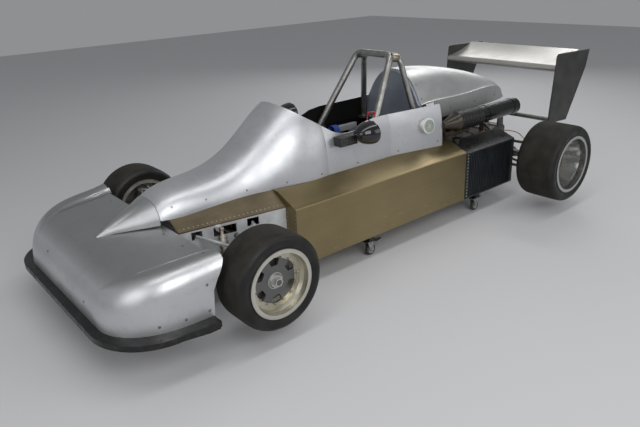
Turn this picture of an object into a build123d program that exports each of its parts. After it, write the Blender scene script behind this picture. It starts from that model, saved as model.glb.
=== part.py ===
from build123d import *
from math import cos, radians, sin
import os

os.makedirs("parts", exist_ok=True)

# Millimetres. X runs forward, Y to the car's left, Z up from the floor, origin under the middle.

# Stance: the car stands on a four castor dolly under its tub and its wheels hang clear
wheelbase = 2560
front_axle_x = 1280
rear_axle_x = front_axle_x - wheelbase
castor_height = 110
dolly_tube = 45
tub_bottom_z = castor_height + dolly_tube
wheel_hang = 71
seat_gap = 0.3
run_gap = 5.0
fit_gap = 0.05

# Wheels and tyres
front_tyre_radius = 252
front_tyre_width = 228
front_face_y = 850
front_bead_radius = 166
front_flange_radius = 181
front_disc_depth = 62
front_cone_length = 18
rear_tyre_radius = 276
rear_tyre_width = 303
rear_face_y = 915
rear_bead_radius = 191
rear_flange_radius = 206
rear_disc_depth = 175
rear_cone_length = 120
tyre_shoulder = 30
tyre_bead_inset = 14
rim_wall = 6
flange_width = 9
wheel_disc_thickness = 14
bolt_ring_radius = 150
bolt_ring_width = 22
bolt_ring_height = 5
rim_bolts = 16
rim_windows = 6
wheel_boss_radius = 40
wheel_boss_height = 12
wheel_boss_length = 46
front_axle_z = tub_bottom_z - wheel_hang + front_tyre_radius
rear_axle_z = tub_bottom_z - wheel_hang + rear_tyre_radius

# Monocoque
tub_front_x = front_axle_x - 386
tub_rear_x = -620
tub_half = 472
tub_side_z = 504
tub_edge_bend = 8
deck_slope = 0.43
deck_inner_half = 307
cockpit_half = 236
cockpit_rear_x = -300
cockpit_front_x = 400
tub_floor = 20
cockpit_side_wall = 50
cockpit_rear_wall = 90
cockpit_side_z = 700
frame_front_x = front_axle_x + 220
frame_rear_half = 377
frame_front_half = 250
frame_rear_z = 503
frame_front_z = 488
frame_wall = 8
frame_deck_slope = 0.57
frame_inner_half = 250
frame_tip_half = 150

# Bodywork
skin = 6
nose_rear_x = front_axle_x + 240
seam_x = nose_rear_x + 22
nose_base_z = 250
lip_thickness = 30
lip_end_depth = 48
lip_rear_x = front_axle_x + 320
lip_corner_x = front_axle_x + 510
lip_front_x = front_axle_x + 820
cover_front_x = -378
cover_side_front_x = -526
body_rear_x = -505
rim_z = 850

# Running gear
kingpin_y = 700
knuckle_length = 52
knuckle_width = 44
knuckle_height = 190
ball_height = 16
stub_radius = 18
steering_arm = 90
arm_z = 400
rack_x = front_axle_x - steering_arm
rack_radius = 11
rack_housing_half = 170
front_arm_radius = 8
front_eye_radius = 12
rear_arm_radius = 11
rear_upright_y = 592
rear_upright_width = 60
front_brake_radius = 115
rear_brake_radius = 130
brake_disc_y = 748
rear_brake_y = 665
front_brake_thickness = 12
rear_brake_thickness = 20

# Rear pieces
engine_rear_x = rear_axle_x + 230
bell_rear_x = rear_axle_x + 100
gearbox_rear_x = rear_axle_x - 360
radiator_face_y = tub_half + 3
radiator_thickness = 55
radiator_front_x = tub_rear_x - seat_gap
radiator_rear_x = rear_axle_x + 85
radiator_top_z = 496
radiator_fins = 24
silencer_radius = 60
wing_half = 510
end_plate_thickness = 8

# Steering wheel
wheel_hub_x = 520
wheel_hub_z = 735
column_end_x = rack_x - 60
column_end_z = 478
column_radius = 10


def across(x):
    """Plane square to the car's length, drawn in Y and Z"""
    return Plane(origin=(x, 0, 0), x_dir=(0, 1, 0), z_dir=(1, 0, 0))


def side(y):
    """Plane square to the car's width, drawn in X and Z, facing the right"""
    return Plane(origin=(0, y, 0), x_dir=(1, 0, 0), z_dir=(0, -1, 0))


def rod(start, end, radius):
    """Round bar between two points"""
    run = Vector(*end) - Vector(*start)
    with BuildPart(Plane(origin=start, z_dir=run)) as bar:
        Cylinder(radius, run.length, align=(Align.CENTER, Align.CENTER, Align.MIN))
    return bar.part


def bent_tube(points, radius, bend):
    """Round tube along straight runs joined by arcs"""
    start = Vector(*points[0])
    with BuildPart() as tube:
        with BuildLine():
            FilletPolyline(*points, radius=bend)
        with BuildSketch(Plane(origin=start, z_dir=Vector(*points[1]) - start)):
            Circle(radius)
        sweep(transition=Transition.ROUND)
    return tube.part


def write(part, label):
    """Label a finished piece and write it out"""
    part.label = label
    export_step(part, f"parts/{label}.step")


def frame_share(x):
    """How far x lies along the front frame, from 0 at the tub to 1 at its tip"""
    return (x - tub_front_x) / (frame_front_x - tub_front_x)


def frame_half(x):
    """Half width of the front frame's outside"""
    return frame_rear_half + frame_share(x) * (frame_front_half - frame_rear_half)


def deck_corners(x):
    """Outer and inner half width and height of the sloping top deck"""
    if x <= tub_front_x:
        rise = (tub_half - deck_inner_half) * deck_slope
        return (tub_half, tub_side_z), (deck_inner_half, tub_side_z + rise)
    inner = frame_inner_half + frame_share(x) * (frame_tip_half - frame_inner_half)
    edge_z = frame_rear_z + frame_share(x) * (frame_front_z - frame_rear_z)
    return (frame_half(x), edge_z), (inner, edge_z + (frame_half(x) - inner) * frame_deck_slope)


def deck_z(x, y):
    """Height of the top deck at a distance y from the middle"""
    (outer, outer_z), (inner, inner_z) = deck_corners(x)
    return inner_z - (max(y, inner) - inner) * (inner_z - outer_z) / (outer - inner)


def below_deck(x, lift):
    """Everything under the top deck, raised by lift"""
    (outer, outer_z), (inner, inner_z) = deck_corners(x)
    with BuildSketch(across(x)) as section:
        Polygon(
            (-outer, tub_bottom_z), (outer, tub_bottom_z), (outer, outer_z + lift),
            (inner, inner_z + lift), (-inner, inner_z + lift), (-outer, outer_z + lift),
            align=None,
        )
    return section.sketch


# Tub: side boxes folded over a sloping deck, with a floor and an open cockpit between them
deck_top_z = deck_z(0, deck_inner_half)
cockpit_wall_length = cockpit_front_x - cockpit_rear_x + 60
cockpit_wall_mid_x = (cockpit_front_x + cockpit_rear_x - 60) / 2
with BuildPart() as tub:
    extrude(below_deck(tub_rear_x, 0), amount=tub_front_x - tub_rear_x, dir=(1, 0, 0))
    long_edges = tub.edges().filter_by(Axis.X)
    fillet(long_edges.filter_by_position(Axis.Z, tub_side_z - 1, tub_side_z + 1), radius=tub_edge_bend)
    with BuildSketch(Plane.XY.offset(deck_top_z)):
        for hand in (1, -1):
            with Locations((cockpit_wall_mid_x, hand * (cockpit_half + cockpit_side_wall / 2))):
                Rectangle(cockpit_wall_length, cockpit_side_wall)
        with Locations((cockpit_rear_x - cockpit_rear_wall / 2, 0)):
            Rectangle(cockpit_rear_wall, 2 * (cockpit_half + cockpit_side_wall))
    extrude(amount=cockpit_side_z - deck_top_z)
    with BuildSketch(Plane.XY.offset(tub_bottom_z + tub_floor)):
        with Locations(((tub_front_x + cockpit_rear_x) / 2, 0)):
            Rectangle(tub_front_x - cockpit_rear_x, 2 * cockpit_half)
    extrude(amount=cockpit_side_z, mode=Mode.SUBTRACT)
write(tub.part, "tub")

# Wishbone feet on the front frame: x from the axle, height, and the length of their cut-out
upper_feet = ((125, 444, 60), (-190, 452, 70))
lower_feet = ((140, 225), (-220, 225))
lower_foot_out = 17
damper_head_x = front_axle_x + 10
damper_head_z = 470
damper_eye = 13

# Front frame: narrower bare box for the driver's legs, open at both ends, with arm cut-outs
with BuildPart() as front_frame:
    frame_ends = (
        (tub_front_x + seat_gap, frame_rear_half, frame_rear_z - frame_wall),
        (frame_front_x, frame_front_half, frame_front_z - frame_wall),
    )
    for x, half, top in frame_ends:
        with BuildSketch(across(x)):
            with Locations((0, (tub_bottom_z + top) / 2)):
                Rectangle(2 * half, top - tub_bottom_z)
    loft(ruled=True)
    for x, half, top in frame_ends:
        with BuildSketch(across(x)):
            with Locations((0, tub_bottom_z + frame_wall)):
                Rectangle(2 * (half - frame_wall), top - tub_bottom_z, align=(Align.CENTER, Align.MIN))
    loft(ruled=True, mode=Mode.SUBTRACT)
    for ahead, z, length in upper_feet:
        with Locations((front_axle_x + ahead, 0, z + 6)):
            Box(length, 2 * tub_half, 46, mode=Mode.SUBTRACT)
    with Locations((front_axle_x - 30, 0, 446)):
        Box(130, 2 * tub_half, 52, mode=Mode.SUBTRACT)
    with Locations((rack_x, 0, arm_z)):
        Cylinder(rack_radius + run_gap, 2 * tub_half, rotation=(90, 0, 0), mode=Mode.SUBTRACT)
    for hand in (1, -1):
        # Pads under the upper arms' feet, on the lower edge of their cut-outs
        for ahead, z, length in upper_feet:
            x = front_axle_x + ahead
            pad_top = z - front_arm_radius - seat_gap
            pad_base = z - 22
            with Locations((x, hand * (frame_half(x) - frame_wall / 2), (pad_top + pad_base) / 2)):
                Box(26, frame_wall, pad_top - pad_base)
        # Pads outside the wall for the lower arms' eyes
        pad_reach = lower_foot_out - front_eye_radius - seat_gap
        for ahead, z in lower_feet:
            x = front_axle_x + ahead
            with Locations((x, hand * (frame_half(x) + pad_reach - 5), z)):
                Box(30, 10, 34)
        # Bracket for the damper's head
        bracket_face = frame_half(damper_head_x) + 22
        with Locations((damper_head_x, hand * (bracket_face - 15), damper_head_z)):
            Box(24, 30, 26)
write(front_frame.part, "front_frame")

# Front deck: the coloured sheet that caps the front frame and carries the tub's top line on
with BuildPart() as front_deck:
    for x, half, z, inner in (
        (tub_front_x + seat_gap, frame_rear_half, frame_rear_z, frame_inner_half),
        (frame_front_x, frame_front_half, frame_front_z, frame_tip_half),
    ):
        rise = (half - inner) * frame_deck_slope
        with BuildSketch(across(x)):
            Polygon(
                (-half, z), (-half, z - frame_wall), (-inner, z - frame_wall + rise),
                (inner, z - frame_wall + rise), (half, z - frame_wall), (half, z),
                (inner, z + rise), (-inner, z + rise),
                align=None,
            )
    loft(ruled=True)
    with Locations((tub_front_x + 240, 0, frame_rear_z)):
        Box(500, 220, 300, mode=Mode.SUBTRACT)
write(front_deck.part, "front_deck")

# Nose sections: x from the axle, base half, side half, side z, ridge y, ridge z, inner y, flat z
nose_sections = (
    (240, 742, 744, 440, 702, 536, 600, 508),
    (420, 728, 728, 420, 676, 515, 560, 501),
    (600, 694, 686, 385, 628, 482, 520, 485),
    (710, 618, 606, 330, 548, 425, 450, 440),
    (774, 470, 456, 268, 430, 300, 360, 312),
)


def nose_section(ahead, base, edge, edge_z, ridge_y, ridge_z, inner, flat, inset=0, drop=0):
    """Full-width section with a raised shoulder at each side"""
    with BuildSketch(across(front_axle_x + ahead)) as section:
        with BuildLine():
            start = (base - inset, nose_base_z - drop)
            right = (edge - inset, edge_z)
            ridge = (ridge_y - inset / 2, ridge_z - inset)
            blend = (inner - inset, flat - inset)
            Line((-start[0], start[1]), start)
            Line(start, right)
            ThreePointArc(right, ridge, blend)
            Line(blend, (-blend[0], blend[1]))
            ThreePointArc((-blend[0], blend[1]), (-ridge[0], ridge[1]), (-right[0], right[1]))
            Line((-right[0], right[1]), (-start[0], start[1]))
        make_face()
    return section.sketch


def arch_section(x, half, base_z, top_z, side_lift, crown):
    """Arched section: the side stands up by side_lift and the crown is crown wide, as shares"""
    height = top_z - base_z
    with BuildSketch(across(x)) as section:
        with BuildLine():
            Line((-half, base_z), (half, base_z))
            Bezier((half, base_z), (half, base_z + side_lift * height), (crown * half, top_z), (0, top_z))
            Bezier((0, top_z), (-crown * half, top_z), (-half, base_z + side_lift * height), (-half, base_z))
        make_face()
    return section.sketch


# Spine over the nose: x, half width, base z, top z
spine_sections = (
    (front_axle_x + 558, 6, 470, 496),
    (front_axle_x + 420, 62, 470, 572),
    (seam_x + seat_gap, 124, 470, 634),
)

# Nose shell: the full-width front panel with the start of the driver's fairing
with BuildPart() as nose_shell:
    loft(sections=[nose_section(*row) for row in nose_sections])
    loft(sections=[arch_section(*row, 0.45, 0.75) for row in spine_sections])
    rear_row, *middle_rows, front_row = nose_sections
    inner_rows = [(rear_row[0] - 1, *rear_row[1:]), *middle_rows, (front_row[0] - skin, *front_row[1:])]
    loft(sections=[nose_section(*row, skin, 10) for row in inner_rows], mode=Mode.SUBTRACT)
    loft(
        sections=[
            arch_section(x - 3, max(half - skin, 2), base - 1, top - skin, 0.45, 0.75)
            for x, half, base, top in spine_sections
        ],
        mode=Mode.SUBTRACT,
    )
    with BuildSketch(side(-900)):
        Polygon(
            (nose_rear_x - 50, 560), (nose_rear_x, 520), (nose_rear_x + 42, 440),
            (nose_rear_x + 68, 380), (nose_rear_x + 78, nose_base_z - 20), (nose_rear_x - 50, 200),
            align=None,
        )
    extrude(amount=-1800, mode=Mode.SUBTRACT)
write(nose_shell.part, "nose_shell")

# Nose lip: the black splitter ring that runs round the nose's lower edge, deeper at its ends
with BuildPart() as nose_lip:
    lip_base_z = nose_base_z - lip_thickness - seat_gap
    with BuildSketch(Plane.XY.offset(lip_base_z)):
        with BuildLine():
            Line((lip_rear_x, 797), (lip_corner_x, 783))
            ThreePointArc((lip_corner_x, 783), (lip_front_x - 78, 680), (lip_front_x, 470))
            Polyline((lip_front_x, 470), (lip_front_x, 0), (lip_front_x - 100, 0), (lip_front_x - 100, 400))
            ThreePointArc((lip_front_x - 100, 400), (lip_front_x - 200, 610), (lip_rear_x, 690))
            Line((lip_rear_x, 690), (lip_rear_x, 797))
        make_face()
        mirror(about=Plane.XZ)
    extrude(amount=lip_thickness)
    for y in (783, -743):
        with BuildSketch(side(y)):
            Polygon(
                (lip_rear_x, lip_base_z), (lip_corner_x, lip_base_z),
                (lip_rear_x + 60, lip_base_z + lip_thickness - lip_end_depth),
                (lip_rear_x, lip_base_z + lip_thickness - lip_end_depth),
                align=None,
            )
        extrude(amount=40)
write(nose_lip.part, "nose_lip")

# Cockpit body sections: x, half width at the deck, top z, side lift, crown
scuttle_sections = (
    (seam_x, 152, 634, 0.45, 0.75),
    (front_axle_x - 106, 208, 716, 0.45, 0.65),
    (tub_front_x + 8, 256, 856, 0.45, 0.60),
    (720, 296, 1000, 0.50, 0.62),
    (500, 300, 1020, 0.60, 0.75),
)
cockpit_sections = (
    (500, 300, 1020, 0.60, 0.75),
    (300, 302, 1020, 0.70, 0.85),
    (-40, 303, 1020, 0.70, 0.85),
    (body_rear_x, 346, 1020, 0.70, 0.85),
)
body_overlap = 24


def body_section(x, half, top, lift, crown, inset=0, drop=0):
    """Arch that reaches a little below the deck, where it is trimmed"""
    return arch_section(x, half - inset, deck_z(x, half) - body_overlap - drop, top - inset, lift, crown)


def body_form(inset, drop):
    """Closed form of the cockpit body, smaller by inset"""
    with BuildPart() as form:
        loft(sections=[body_section(*row, inset, drop) for row in scuttle_sections])
        loft(sections=[body_section(*row, inset, drop) for row in cockpit_sections], ruled=True)
    return form.part


# Cockpit body: one thin panel from the nose joint to the engine, cut open over the driver
with BuildPart() as cockpit_body:
    add(body_form(0, 0))
    add(body_form(skin, 1), mode=Mode.SUBTRACT)
    with BuildSketch(side(-500)):
        with BuildLine():
            Polyline((700, 1200), (700, 1010), (600, 935), (440, 830))
            ThreePointArc((440, 830), (300, 800), (180, 835))
            Polyline(
                (180, 835), (79, rim_z), (body_rear_x - 50, rim_z - 6),
                (body_rear_x - 50, 1200), (700, 1200),
            )
        make_face()
    extrude(amount=-1000, mode=Mode.SUBTRACT)
    extrude(
        below_deck(tub_rear_x, seat_gap), amount=tub_front_x + seat_gap - tub_rear_x,
        dir=(1, 0, 0), mode=Mode.SUBTRACT,
    )
    loft(
        sections=[below_deck(x, seat_gap) for x in (tub_front_x + seat_gap, frame_front_x + 100)],
        ruled=True, mode=Mode.SUBTRACT,
    )
write(cockpit_body.part, "cockpit_body")

# Engine cover sections: x, base half, ridge half, ridge z, top z
cover_sections = (
    (cover_front_x, 262, 262, 850, 1072),
    (rear_axle_x + 580, 240, 236, 850, 1050),
    (rear_axle_x + 280, 226, 220, 848, 994),
    (rear_axle_x - 20, 206, 196, 842, 908),
    (rear_axle_x - 200, 160, 140, 770, 822),
)
cover_base_z = 724


def cover_section(x, base, ridge, ridge_z, top_z, inset=0, drop=0):
    """Upright side up to a crisp ridge, then an arched crown"""
    half = ridge - inset
    crown_z = top_z - inset
    with BuildSketch(across(x)) as section:
        with BuildLine():
            Polyline(
                (-half, ridge_z), (-(base - inset), cover_base_z - drop),
                (base - inset, cover_base_z - drop), (half, ridge_z),
            )
            Bezier((half, ridge_z), (half * 0.86, ridge_z + 10), (half * 0.72, crown_z), (0, crown_z))
            Bezier((0, crown_z), (-half * 0.72, crown_z), (-half * 0.86, ridge_z + 10), (-half, ridge_z))
        make_face()
    return section.sketch


# Engine cover: smooth shell behind the roll structure
with BuildPart() as engine_cover:
    loft(sections=[cover_section(*row) for row in cover_sections])
    inner_shift = (1, 0, 0, 0, skin)
    loft(
        sections=[
            cover_section(row[0] + shift, *row[1:], skin, 5)
            for row, shift in zip(cover_sections, inner_shift)
        ],
        mode=Mode.SUBTRACT,
    )
    with BuildSketch(side(-400)):
        Polygon(
            (cover_front_x + 50, rim_z - 2), (cover_side_front_x, rim_z - 2),
            (cover_side_front_x, 600), (cover_front_x + 50, 600),
            align=None,
        )
    extrude(amount=-800, mode=Mode.SUBTRACT)
write(engine_cover.part, "engine_cover")

# Bulkhead panel: arched sheet inside the cover's mouth, standing on the wall behind the driver
panel_rear_x = cover_front_x - 10
panel_thickness = 26
panel_edge = 6
with BuildPart() as bulkhead_panel:
    panel_row = cover_sections[0][1:]
    extrude(
        cover_section(panel_rear_x, *panel_row, skin + 2 * seat_gap), amount=panel_thickness, dir=(1, 0, 0),
    )
    crown_edges = bulkhead_panel.faces().sort_by(Axis.X)[-1].edges().filter_by_position(
        Axis.Z, rim_z + 1, panel_row[3],
    )
    chamfer(crown_edges, length=panel_edge)
    with BuildSketch(across(panel_rear_x)):
        with Locations((0, cockpit_side_z + seat_gap)):
            Rectangle(2 * cockpit_half, cover_base_z - cockpit_side_z, align=(Align.CENTER, Align.MIN))
    extrude(amount=panel_thickness)
write(bulkhead_panel.part, "bulkhead_panel")

# Roll structure: two hoops of bent tube joined over each shoulder, on plates on the cockpit walls
leg_foot_z = cockpit_side_z + seat_gap
front_leg_x = 110
front_leg_y = 262
rear_leg_x = -340
rear_leg_y = 268
hoop_top_x = -184
hoop_top_y = 156
hoop_top_z = 1196
rear_top_x = -252
rear_top_y = 164
rear_top_z = 1182
hoop_radius = 22
hoop_bend = 60
foot_plate = 12
with BuildPart() as roll_structure:
    for foot_x, foot_y, top_x, top_y, top_z, radius in (
        (front_leg_x, front_leg_y, hoop_top_x, hoop_top_y, hoop_top_z, hoop_radius),
        (rear_leg_x, rear_leg_y, rear_top_x, rear_top_y, rear_top_z, hoop_radius - 2),
    ):
        add(bent_tube(
            (
                (foot_x, -foot_y, leg_foot_z), (top_x, -top_y, top_z),
                (top_x, top_y, top_z), (foot_x, foot_y, leg_foot_z),
            ),
            radius, hoop_bend,
        ))
    for hand in (1, -1):
        add(rod((hoop_top_x, hand * 148, hoop_top_z - 16), (rear_top_x, hand * 154, rear_top_z - 12), 24))
        plate_y = hand * (cockpit_half + cockpit_side_wall / 2)
        with Locations(
            (front_leg_x - 10, plate_y, leg_foot_z + foot_plate / 2),
            (rear_leg_x, plate_y, leg_foot_z + foot_plate / 2),
        ):
            Box(80, cockpit_side_wall - 4, foot_plate)
    with BuildSketch(Plane.XY.offset(leg_foot_z - 100)):
        Rectangle(2000, 2000)
    extrude(amount=100, mode=Mode.SUBTRACT)
write(roll_structure.part, "roll_structure")

# Engine: block, head and cam cover on the back of the tub, with its inlets on the right
engine_front_x = tub_rear_x - seat_gap
engine_length = engine_front_x - engine_rear_x - seat_gap
engine_mid_x = (engine_front_x + engine_rear_x) / 2
head_half = 100
port_z = 560
port_pitch = 92
port_stations = [engine_mid_x + port_pitch * (index - 1.5) for index in range(4)]
# Length, half width, base z, top z, corner radius
engine_blocks = (
    (engine_length, 130, 200, 330, 14),
    (engine_length - 16, 112, 330, 520, 10),
    (engine_length - 30, head_half, 520, 600, 8),
    (engine_length - 46, 72, 600, 672, 20),
)
trumpet_lean = 0.25
with BuildPart() as engine:
    for length, half, base, top, corner in engine_blocks:
        with BuildSketch(across(engine_mid_x - length / 2)):
            with Locations((0, top)):
                RectangleRounded(
                    2 * half, top - base + corner, corner, align=(Align.CENTER, Align.MAX),
                )
        extrude(amount=length)
    # Cross ribs of the sump
    for x in port_stations:
        with Locations((x, 0, 266)):
            Box(8, 276, 96)
    # Slide rail and the flared inlets
    with Locations((engine_mid_x, -head_half - 14, port_z)):
        Box(4 * port_pitch, 40, 52)
    for x in port_stations:
        inlet = Plane(origin=(x, -head_half, port_z), x_dir=(1, 0, 0), z_dir=(0, -1, trumpet_lean))
        with Locations(inlet):
            Cylinder(21, 66, align=(Align.CENTER, Align.CENTER, Align.MIN))
        with Locations(inlet.offset(66)):
            Cone(21, 31, 34, align=(Align.CENTER, Align.CENTER, Align.MIN))
            Cone(17, 28, 34, align=(Align.CENTER, Align.CENTER, Align.MIN), mode=Mode.SUBTRACT)
    # Alternator and oil filter on the right, starter on the left
    with Locations((engine_front_x - 75, -155, 400)):
        Cylinder(54, 110, rotation=(0, 90, 0))
    with Locations((engine_rear_x + 120, -160, 300)):
        Cylinder(38, 80, rotation=(90, 0, 0))
    with Locations((engine_rear_x + 90, 150, 270)):
        Cylinder(36, 150, rotation=(0, 90, 0))
write(engine.part, "engine")

# Gearbox: bell housing, ribbed main case, bearing cover and the bracket that carries the wing tube
wing_tube_x = rear_axle_x - 320
wing_tube_z = 568
wing_tube_radius = 17
gearbox_half = 92
gearbox_mid_z = 355
gearbox_height = 200
gearbox_corner = 20
rib_height = 6
tow_radius = 25
tow_outer = 38
tow_thickness = 10
tow_z = 330
rear_head_x = rear_axle_x - 72
rear_head_z = 505
with BuildPart() as gearbox:
    for x, half in ((engine_rear_x, 150), (bell_rear_x, gearbox_half)):
        with BuildSketch(across(x)):
            with Locations((0, gearbox_mid_z)):
                Rectangle(2 * half, gearbox_height + 20)
    loft(ruled=True)
    with BuildSketch(across(gearbox_rear_x)):
        with Locations((0, gearbox_mid_z)):
            RectangleRounded(2 * gearbox_half, gearbox_height, gearbox_corner)
    extrude(amount=bell_rear_x - gearbox_rear_x)
    # Ribs round the case, between the links and the shafts
    for behind in (-58, 110, 270):
        with BuildSketch(across(rear_axle_x - behind - 4)):
            with Locations((0, gearbox_mid_z)):
                RectangleRounded(
                    2 * (gearbox_half + rib_height), gearbox_height + 2 * rib_height, gearbox_corner,
                )
        extrude(amount=8)
    with Locations((gearbox_rear_x, 0, gearbox_mid_z + 45)):
        Cylinder(46, 24, rotation=(0, 90, 0))
    # Bracket for the wing tube, mounts for the dampers' heads
    for y in (-70, 70):
        with BuildSketch(side(y + 6)):
            Polygon(
                (wing_tube_x + 40, 440), (wing_tube_x - 40, 440),
                (wing_tube_x - 25, 600), (wing_tube_x + 25, 600),
                align=None,
            )
        extrude(amount=12)
    with Locations((wing_tube_x, 0, wing_tube_z)):
        Cylinder(wing_tube_radius + fit_gap, 400, rotation=(90, 0, 0), mode=Mode.SUBTRACT)
    for hand in (1, -1):
        with Locations((rear_head_x, hand * (gearbox_half - 20), rear_head_z - 20)):
            Box(24, 40, 70)
    # Tow eye
    with BuildSketch(side(tow_thickness / 2)):
        with Locations((gearbox_rear_x - 20, tow_z)):
            SlotCenterToCenter(40, 2 * tow_outer)
    extrude(amount=tow_thickness)
    with Locations((gearbox_rear_x - 40, 0, tow_z)):
        Cylinder(tow_radius, 2 * tow_thickness, rotation=(90, 0, 0), mode=Mode.SUBTRACT)
write(gearbox.part, "gearbox")

# Wing tube: the cross tube that the end plates hang on
with BuildPart() as wing_tube:
    with Locations((wing_tube_x, 0, wing_tube_z)):
        Cylinder(wing_tube_radius, 2 * wing_half, rotation=(90, 0, 0))
write(wing_tube.part, "wing_tube")

# Rear wing: one slab with a blunt leading edge and a raised trailing edge
wing_lead_x = wing_tube_x - 40
wing_trail_x = wing_tube_x - 340
with BuildPart() as rear_wing:
    with BuildSketch(side(wing_half)):
        with BuildLine():
            Bezier(
                (wing_lead_x, 984), (wing_lead_x - 110, 998), (wing_lead_x - 210, 1030),
                (wing_trail_x, 1068),
            )
            Line((wing_trail_x, 1068), (wing_trail_x, 1060))
            Bezier(
                (wing_trail_x, 1060), (wing_lead_x - 210, 1008), (wing_lead_x - 110, 948),
                (wing_lead_x, 932),
            )
            ThreePointArc((wing_lead_x, 932), (wing_lead_x + 32, 955), (wing_lead_x, 984))
        make_face()
    extrude(amount=2 * wing_half)
write(rear_wing.part, "rear_wing")

# End plates: tapering sheets that carry the wing down to its tube, bossed where the tube bolts on
with BuildPart() as end_plates:
    for hand, y in ((1, wing_half + seat_gap + end_plate_thickness), (-1, -wing_half - seat_gap)):
        with BuildSketch(side(y)):
            Polygon(
                (wing_tube_x - 22, 1066), (wing_tube_x - 500, 1054), (wing_tube_x - 466, 920),
                (wing_tube_x - 246, 527), (wing_tube_x + 22, 540),
                align=None,
            )
        extrude(amount=end_plate_thickness)
        with Locations((wing_tube_x, hand * (wing_half + seat_gap + end_plate_thickness + 2), wing_tube_z)):
            Cylinder(wing_tube_radius + 4, 4, rotation=(90, 0, 0))
    fillet(end_plates.edges().filter_by(Axis.Y).filter_by_position(Axis.Z, 1060, 1070), radius=28)
write(end_plates.part, "end_plates")

# Radiators: a finned core between tanks and rails stands beside the engine on each side
radiator_base_z = tub_bottom_z + seat_gap
radiator_height = radiator_top_z - radiator_base_z
radiator_length = radiator_front_x - radiator_rear_x
radiator_mid = ((radiator_front_x + radiator_rear_x) / 2, (radiator_top_z + radiator_base_z) / 2)
tank_length = 34
rail_height = 14
core_recess = 7
fin_width = 3
fin_pitch = (radiator_length - 2 * tank_length) / (radiator_fins + 1)
with BuildPart() as radiators:
    for hand in (1, -1):
        middle_y = hand * (radiator_face_y - radiator_thickness / 2)
        with Locations((radiator_mid[0], middle_y, radiator_mid[1])):
            Box(radiator_length, radiator_thickness, radiator_height)
        for face in (1, -1):
            window_y = middle_y + face * (radiator_thickness - core_recess) / 2
            with Locations((radiator_mid[0], window_y, radiator_mid[1])):
                Box(
                    radiator_length - 2 * tank_length, core_recess, radiator_height - 2 * rail_height,
                    mode=Mode.SUBTRACT,
                )
            for index in range(radiator_fins):
                fin_x = radiator_rear_x + tank_length + (index + 1) * fin_pitch
                with Locations((fin_x, window_y - face * 1.5, radiator_mid[1])):
                    Box(fin_width, core_recess - 3, radiator_height - 2 * rail_height)
write(radiators.part, "radiators")

# Radiator covers: black sheets that slope from the core's top edge up towards the engine
cover_inner_y = radiator_face_y - 155
cover_inner_z = radiator_top_z + 60
with BuildPart() as radiator_covers:
    for hand in (1, -1):
        with BuildSketch(across(radiator_rear_x)):
            Polygon(
                (hand * radiator_face_y, radiator_top_z + seat_gap), (hand * cover_inner_y, cover_inner_z),
                (hand * cover_inner_y, cover_inner_z - skin),
                (hand * (radiator_face_y - 75), radiator_top_z + 15),
                (hand * (radiator_face_y - radiator_thickness), radiator_top_z + seat_gap),
                align=None,
            )
        extrude(amount=radiator_length)
    # Filler neck of the left radiator
    with Locations((tub_rear_x - 40, cover_inner_y + 30, cover_inner_z - 18)):
        Cylinder(24, 34, align=(Align.CENTER, Align.CENTER, Align.MIN))
    with Locations((tub_rear_x - 40, cover_inner_y + 30, cover_inner_z + 12)):
        Cylinder(31, 12, align=(Align.CENTER, Align.CENTER, Align.MIN))
write(radiator_covers.part, "radiator_covers")

# Silencer: long can on the left with a wrapped middle and a cone at its front
silencer_y = 340
silencer_z = 698
silencer_front_x = tub_rear_x + 112
silencer_rear_x = rear_axle_x - 80
wrap_front_x = silencer_front_x - 142
wrap_rear_x = silencer_front_x - 392
wrap_radius = silencer_radius + 10
outlet_radius = 34
outlet_depth = 80
inlet_x = tub_rear_x - 80
inlet_y = 258
inlet_z = silencer_z - 10
inlet_radius = 22
with BuildPart() as silencer:
    with BuildSketch(Plane(origin=(0, silencer_y, silencer_z), x_dir=(1, 0, 0), z_dir=(0, -1, 0))):
        Polygon(
            (silencer_front_x, 0), (silencer_front_x - 4, 22), (wrap_front_x + 20, silencer_radius - 2),
            (wrap_front_x, wrap_radius), (wrap_rear_x, wrap_radius), (wrap_rear_x - 15, silencer_radius),
            (silencer_rear_x, silencer_radius), (silencer_rear_x, outlet_radius),
            (silencer_rear_x + outlet_depth, outlet_radius), (silencer_rear_x + outlet_depth, 0),
            align=None,
        )
    revolve(axis=Axis((0, silencer_y, silencer_z), (1, 0, 0)))
    add(rod((inlet_x, inlet_y, inlet_z), (inlet_x, silencer_y - 40, inlet_z), inlet_radius))
    # Straps round the can
    for x in (wrap_rear_x - 90, silencer_rear_x + 60):
        with Locations((x, silencer_y, silencer_z)):
            Cylinder(silencer_radius + 3, 22, rotation=(0, 90, 0))
    with Locations((silencer_rear_x, silencer_y, silencer_z)):
        Cylinder(outlet_radius, 2 * outlet_depth, rotation=(0, 90, 0), mode=Mode.SUBTRACT)
write(silencer.part, "silencer")

# Exhaust manifold: four stubs from the head into a log, then up and out to the silencer's inlet
log_y = 190
log_radius = 22
with BuildPart() as exhaust_pipe:
    add(bent_tube(
        (
            (port_stations[0] - 20, log_y, port_z), (inlet_x, log_y, port_z),
            (inlet_x, log_y, inlet_z), (inlet_x, inlet_y - seat_gap, inlet_z),
        ),
        log_radius, 40,
    ))
    for x in port_stations:
        start = (x, head_half + seat_gap, port_z)
        add(rod(start, (min(x, inlet_x - 45), log_y, port_z), log_radius - 4))
        with Locations((x, head_half + seat_gap + 4, port_z)):
            Box(56, 8, 48)
    with Locations((engine_mid_x, 0, port_z)):
        Box(2 * engine_length, 2 * (head_half + seat_gap), 200, mode=Mode.SUBTRACT)
write(exhaust_pipe.part, "exhaust_pipe")

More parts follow.
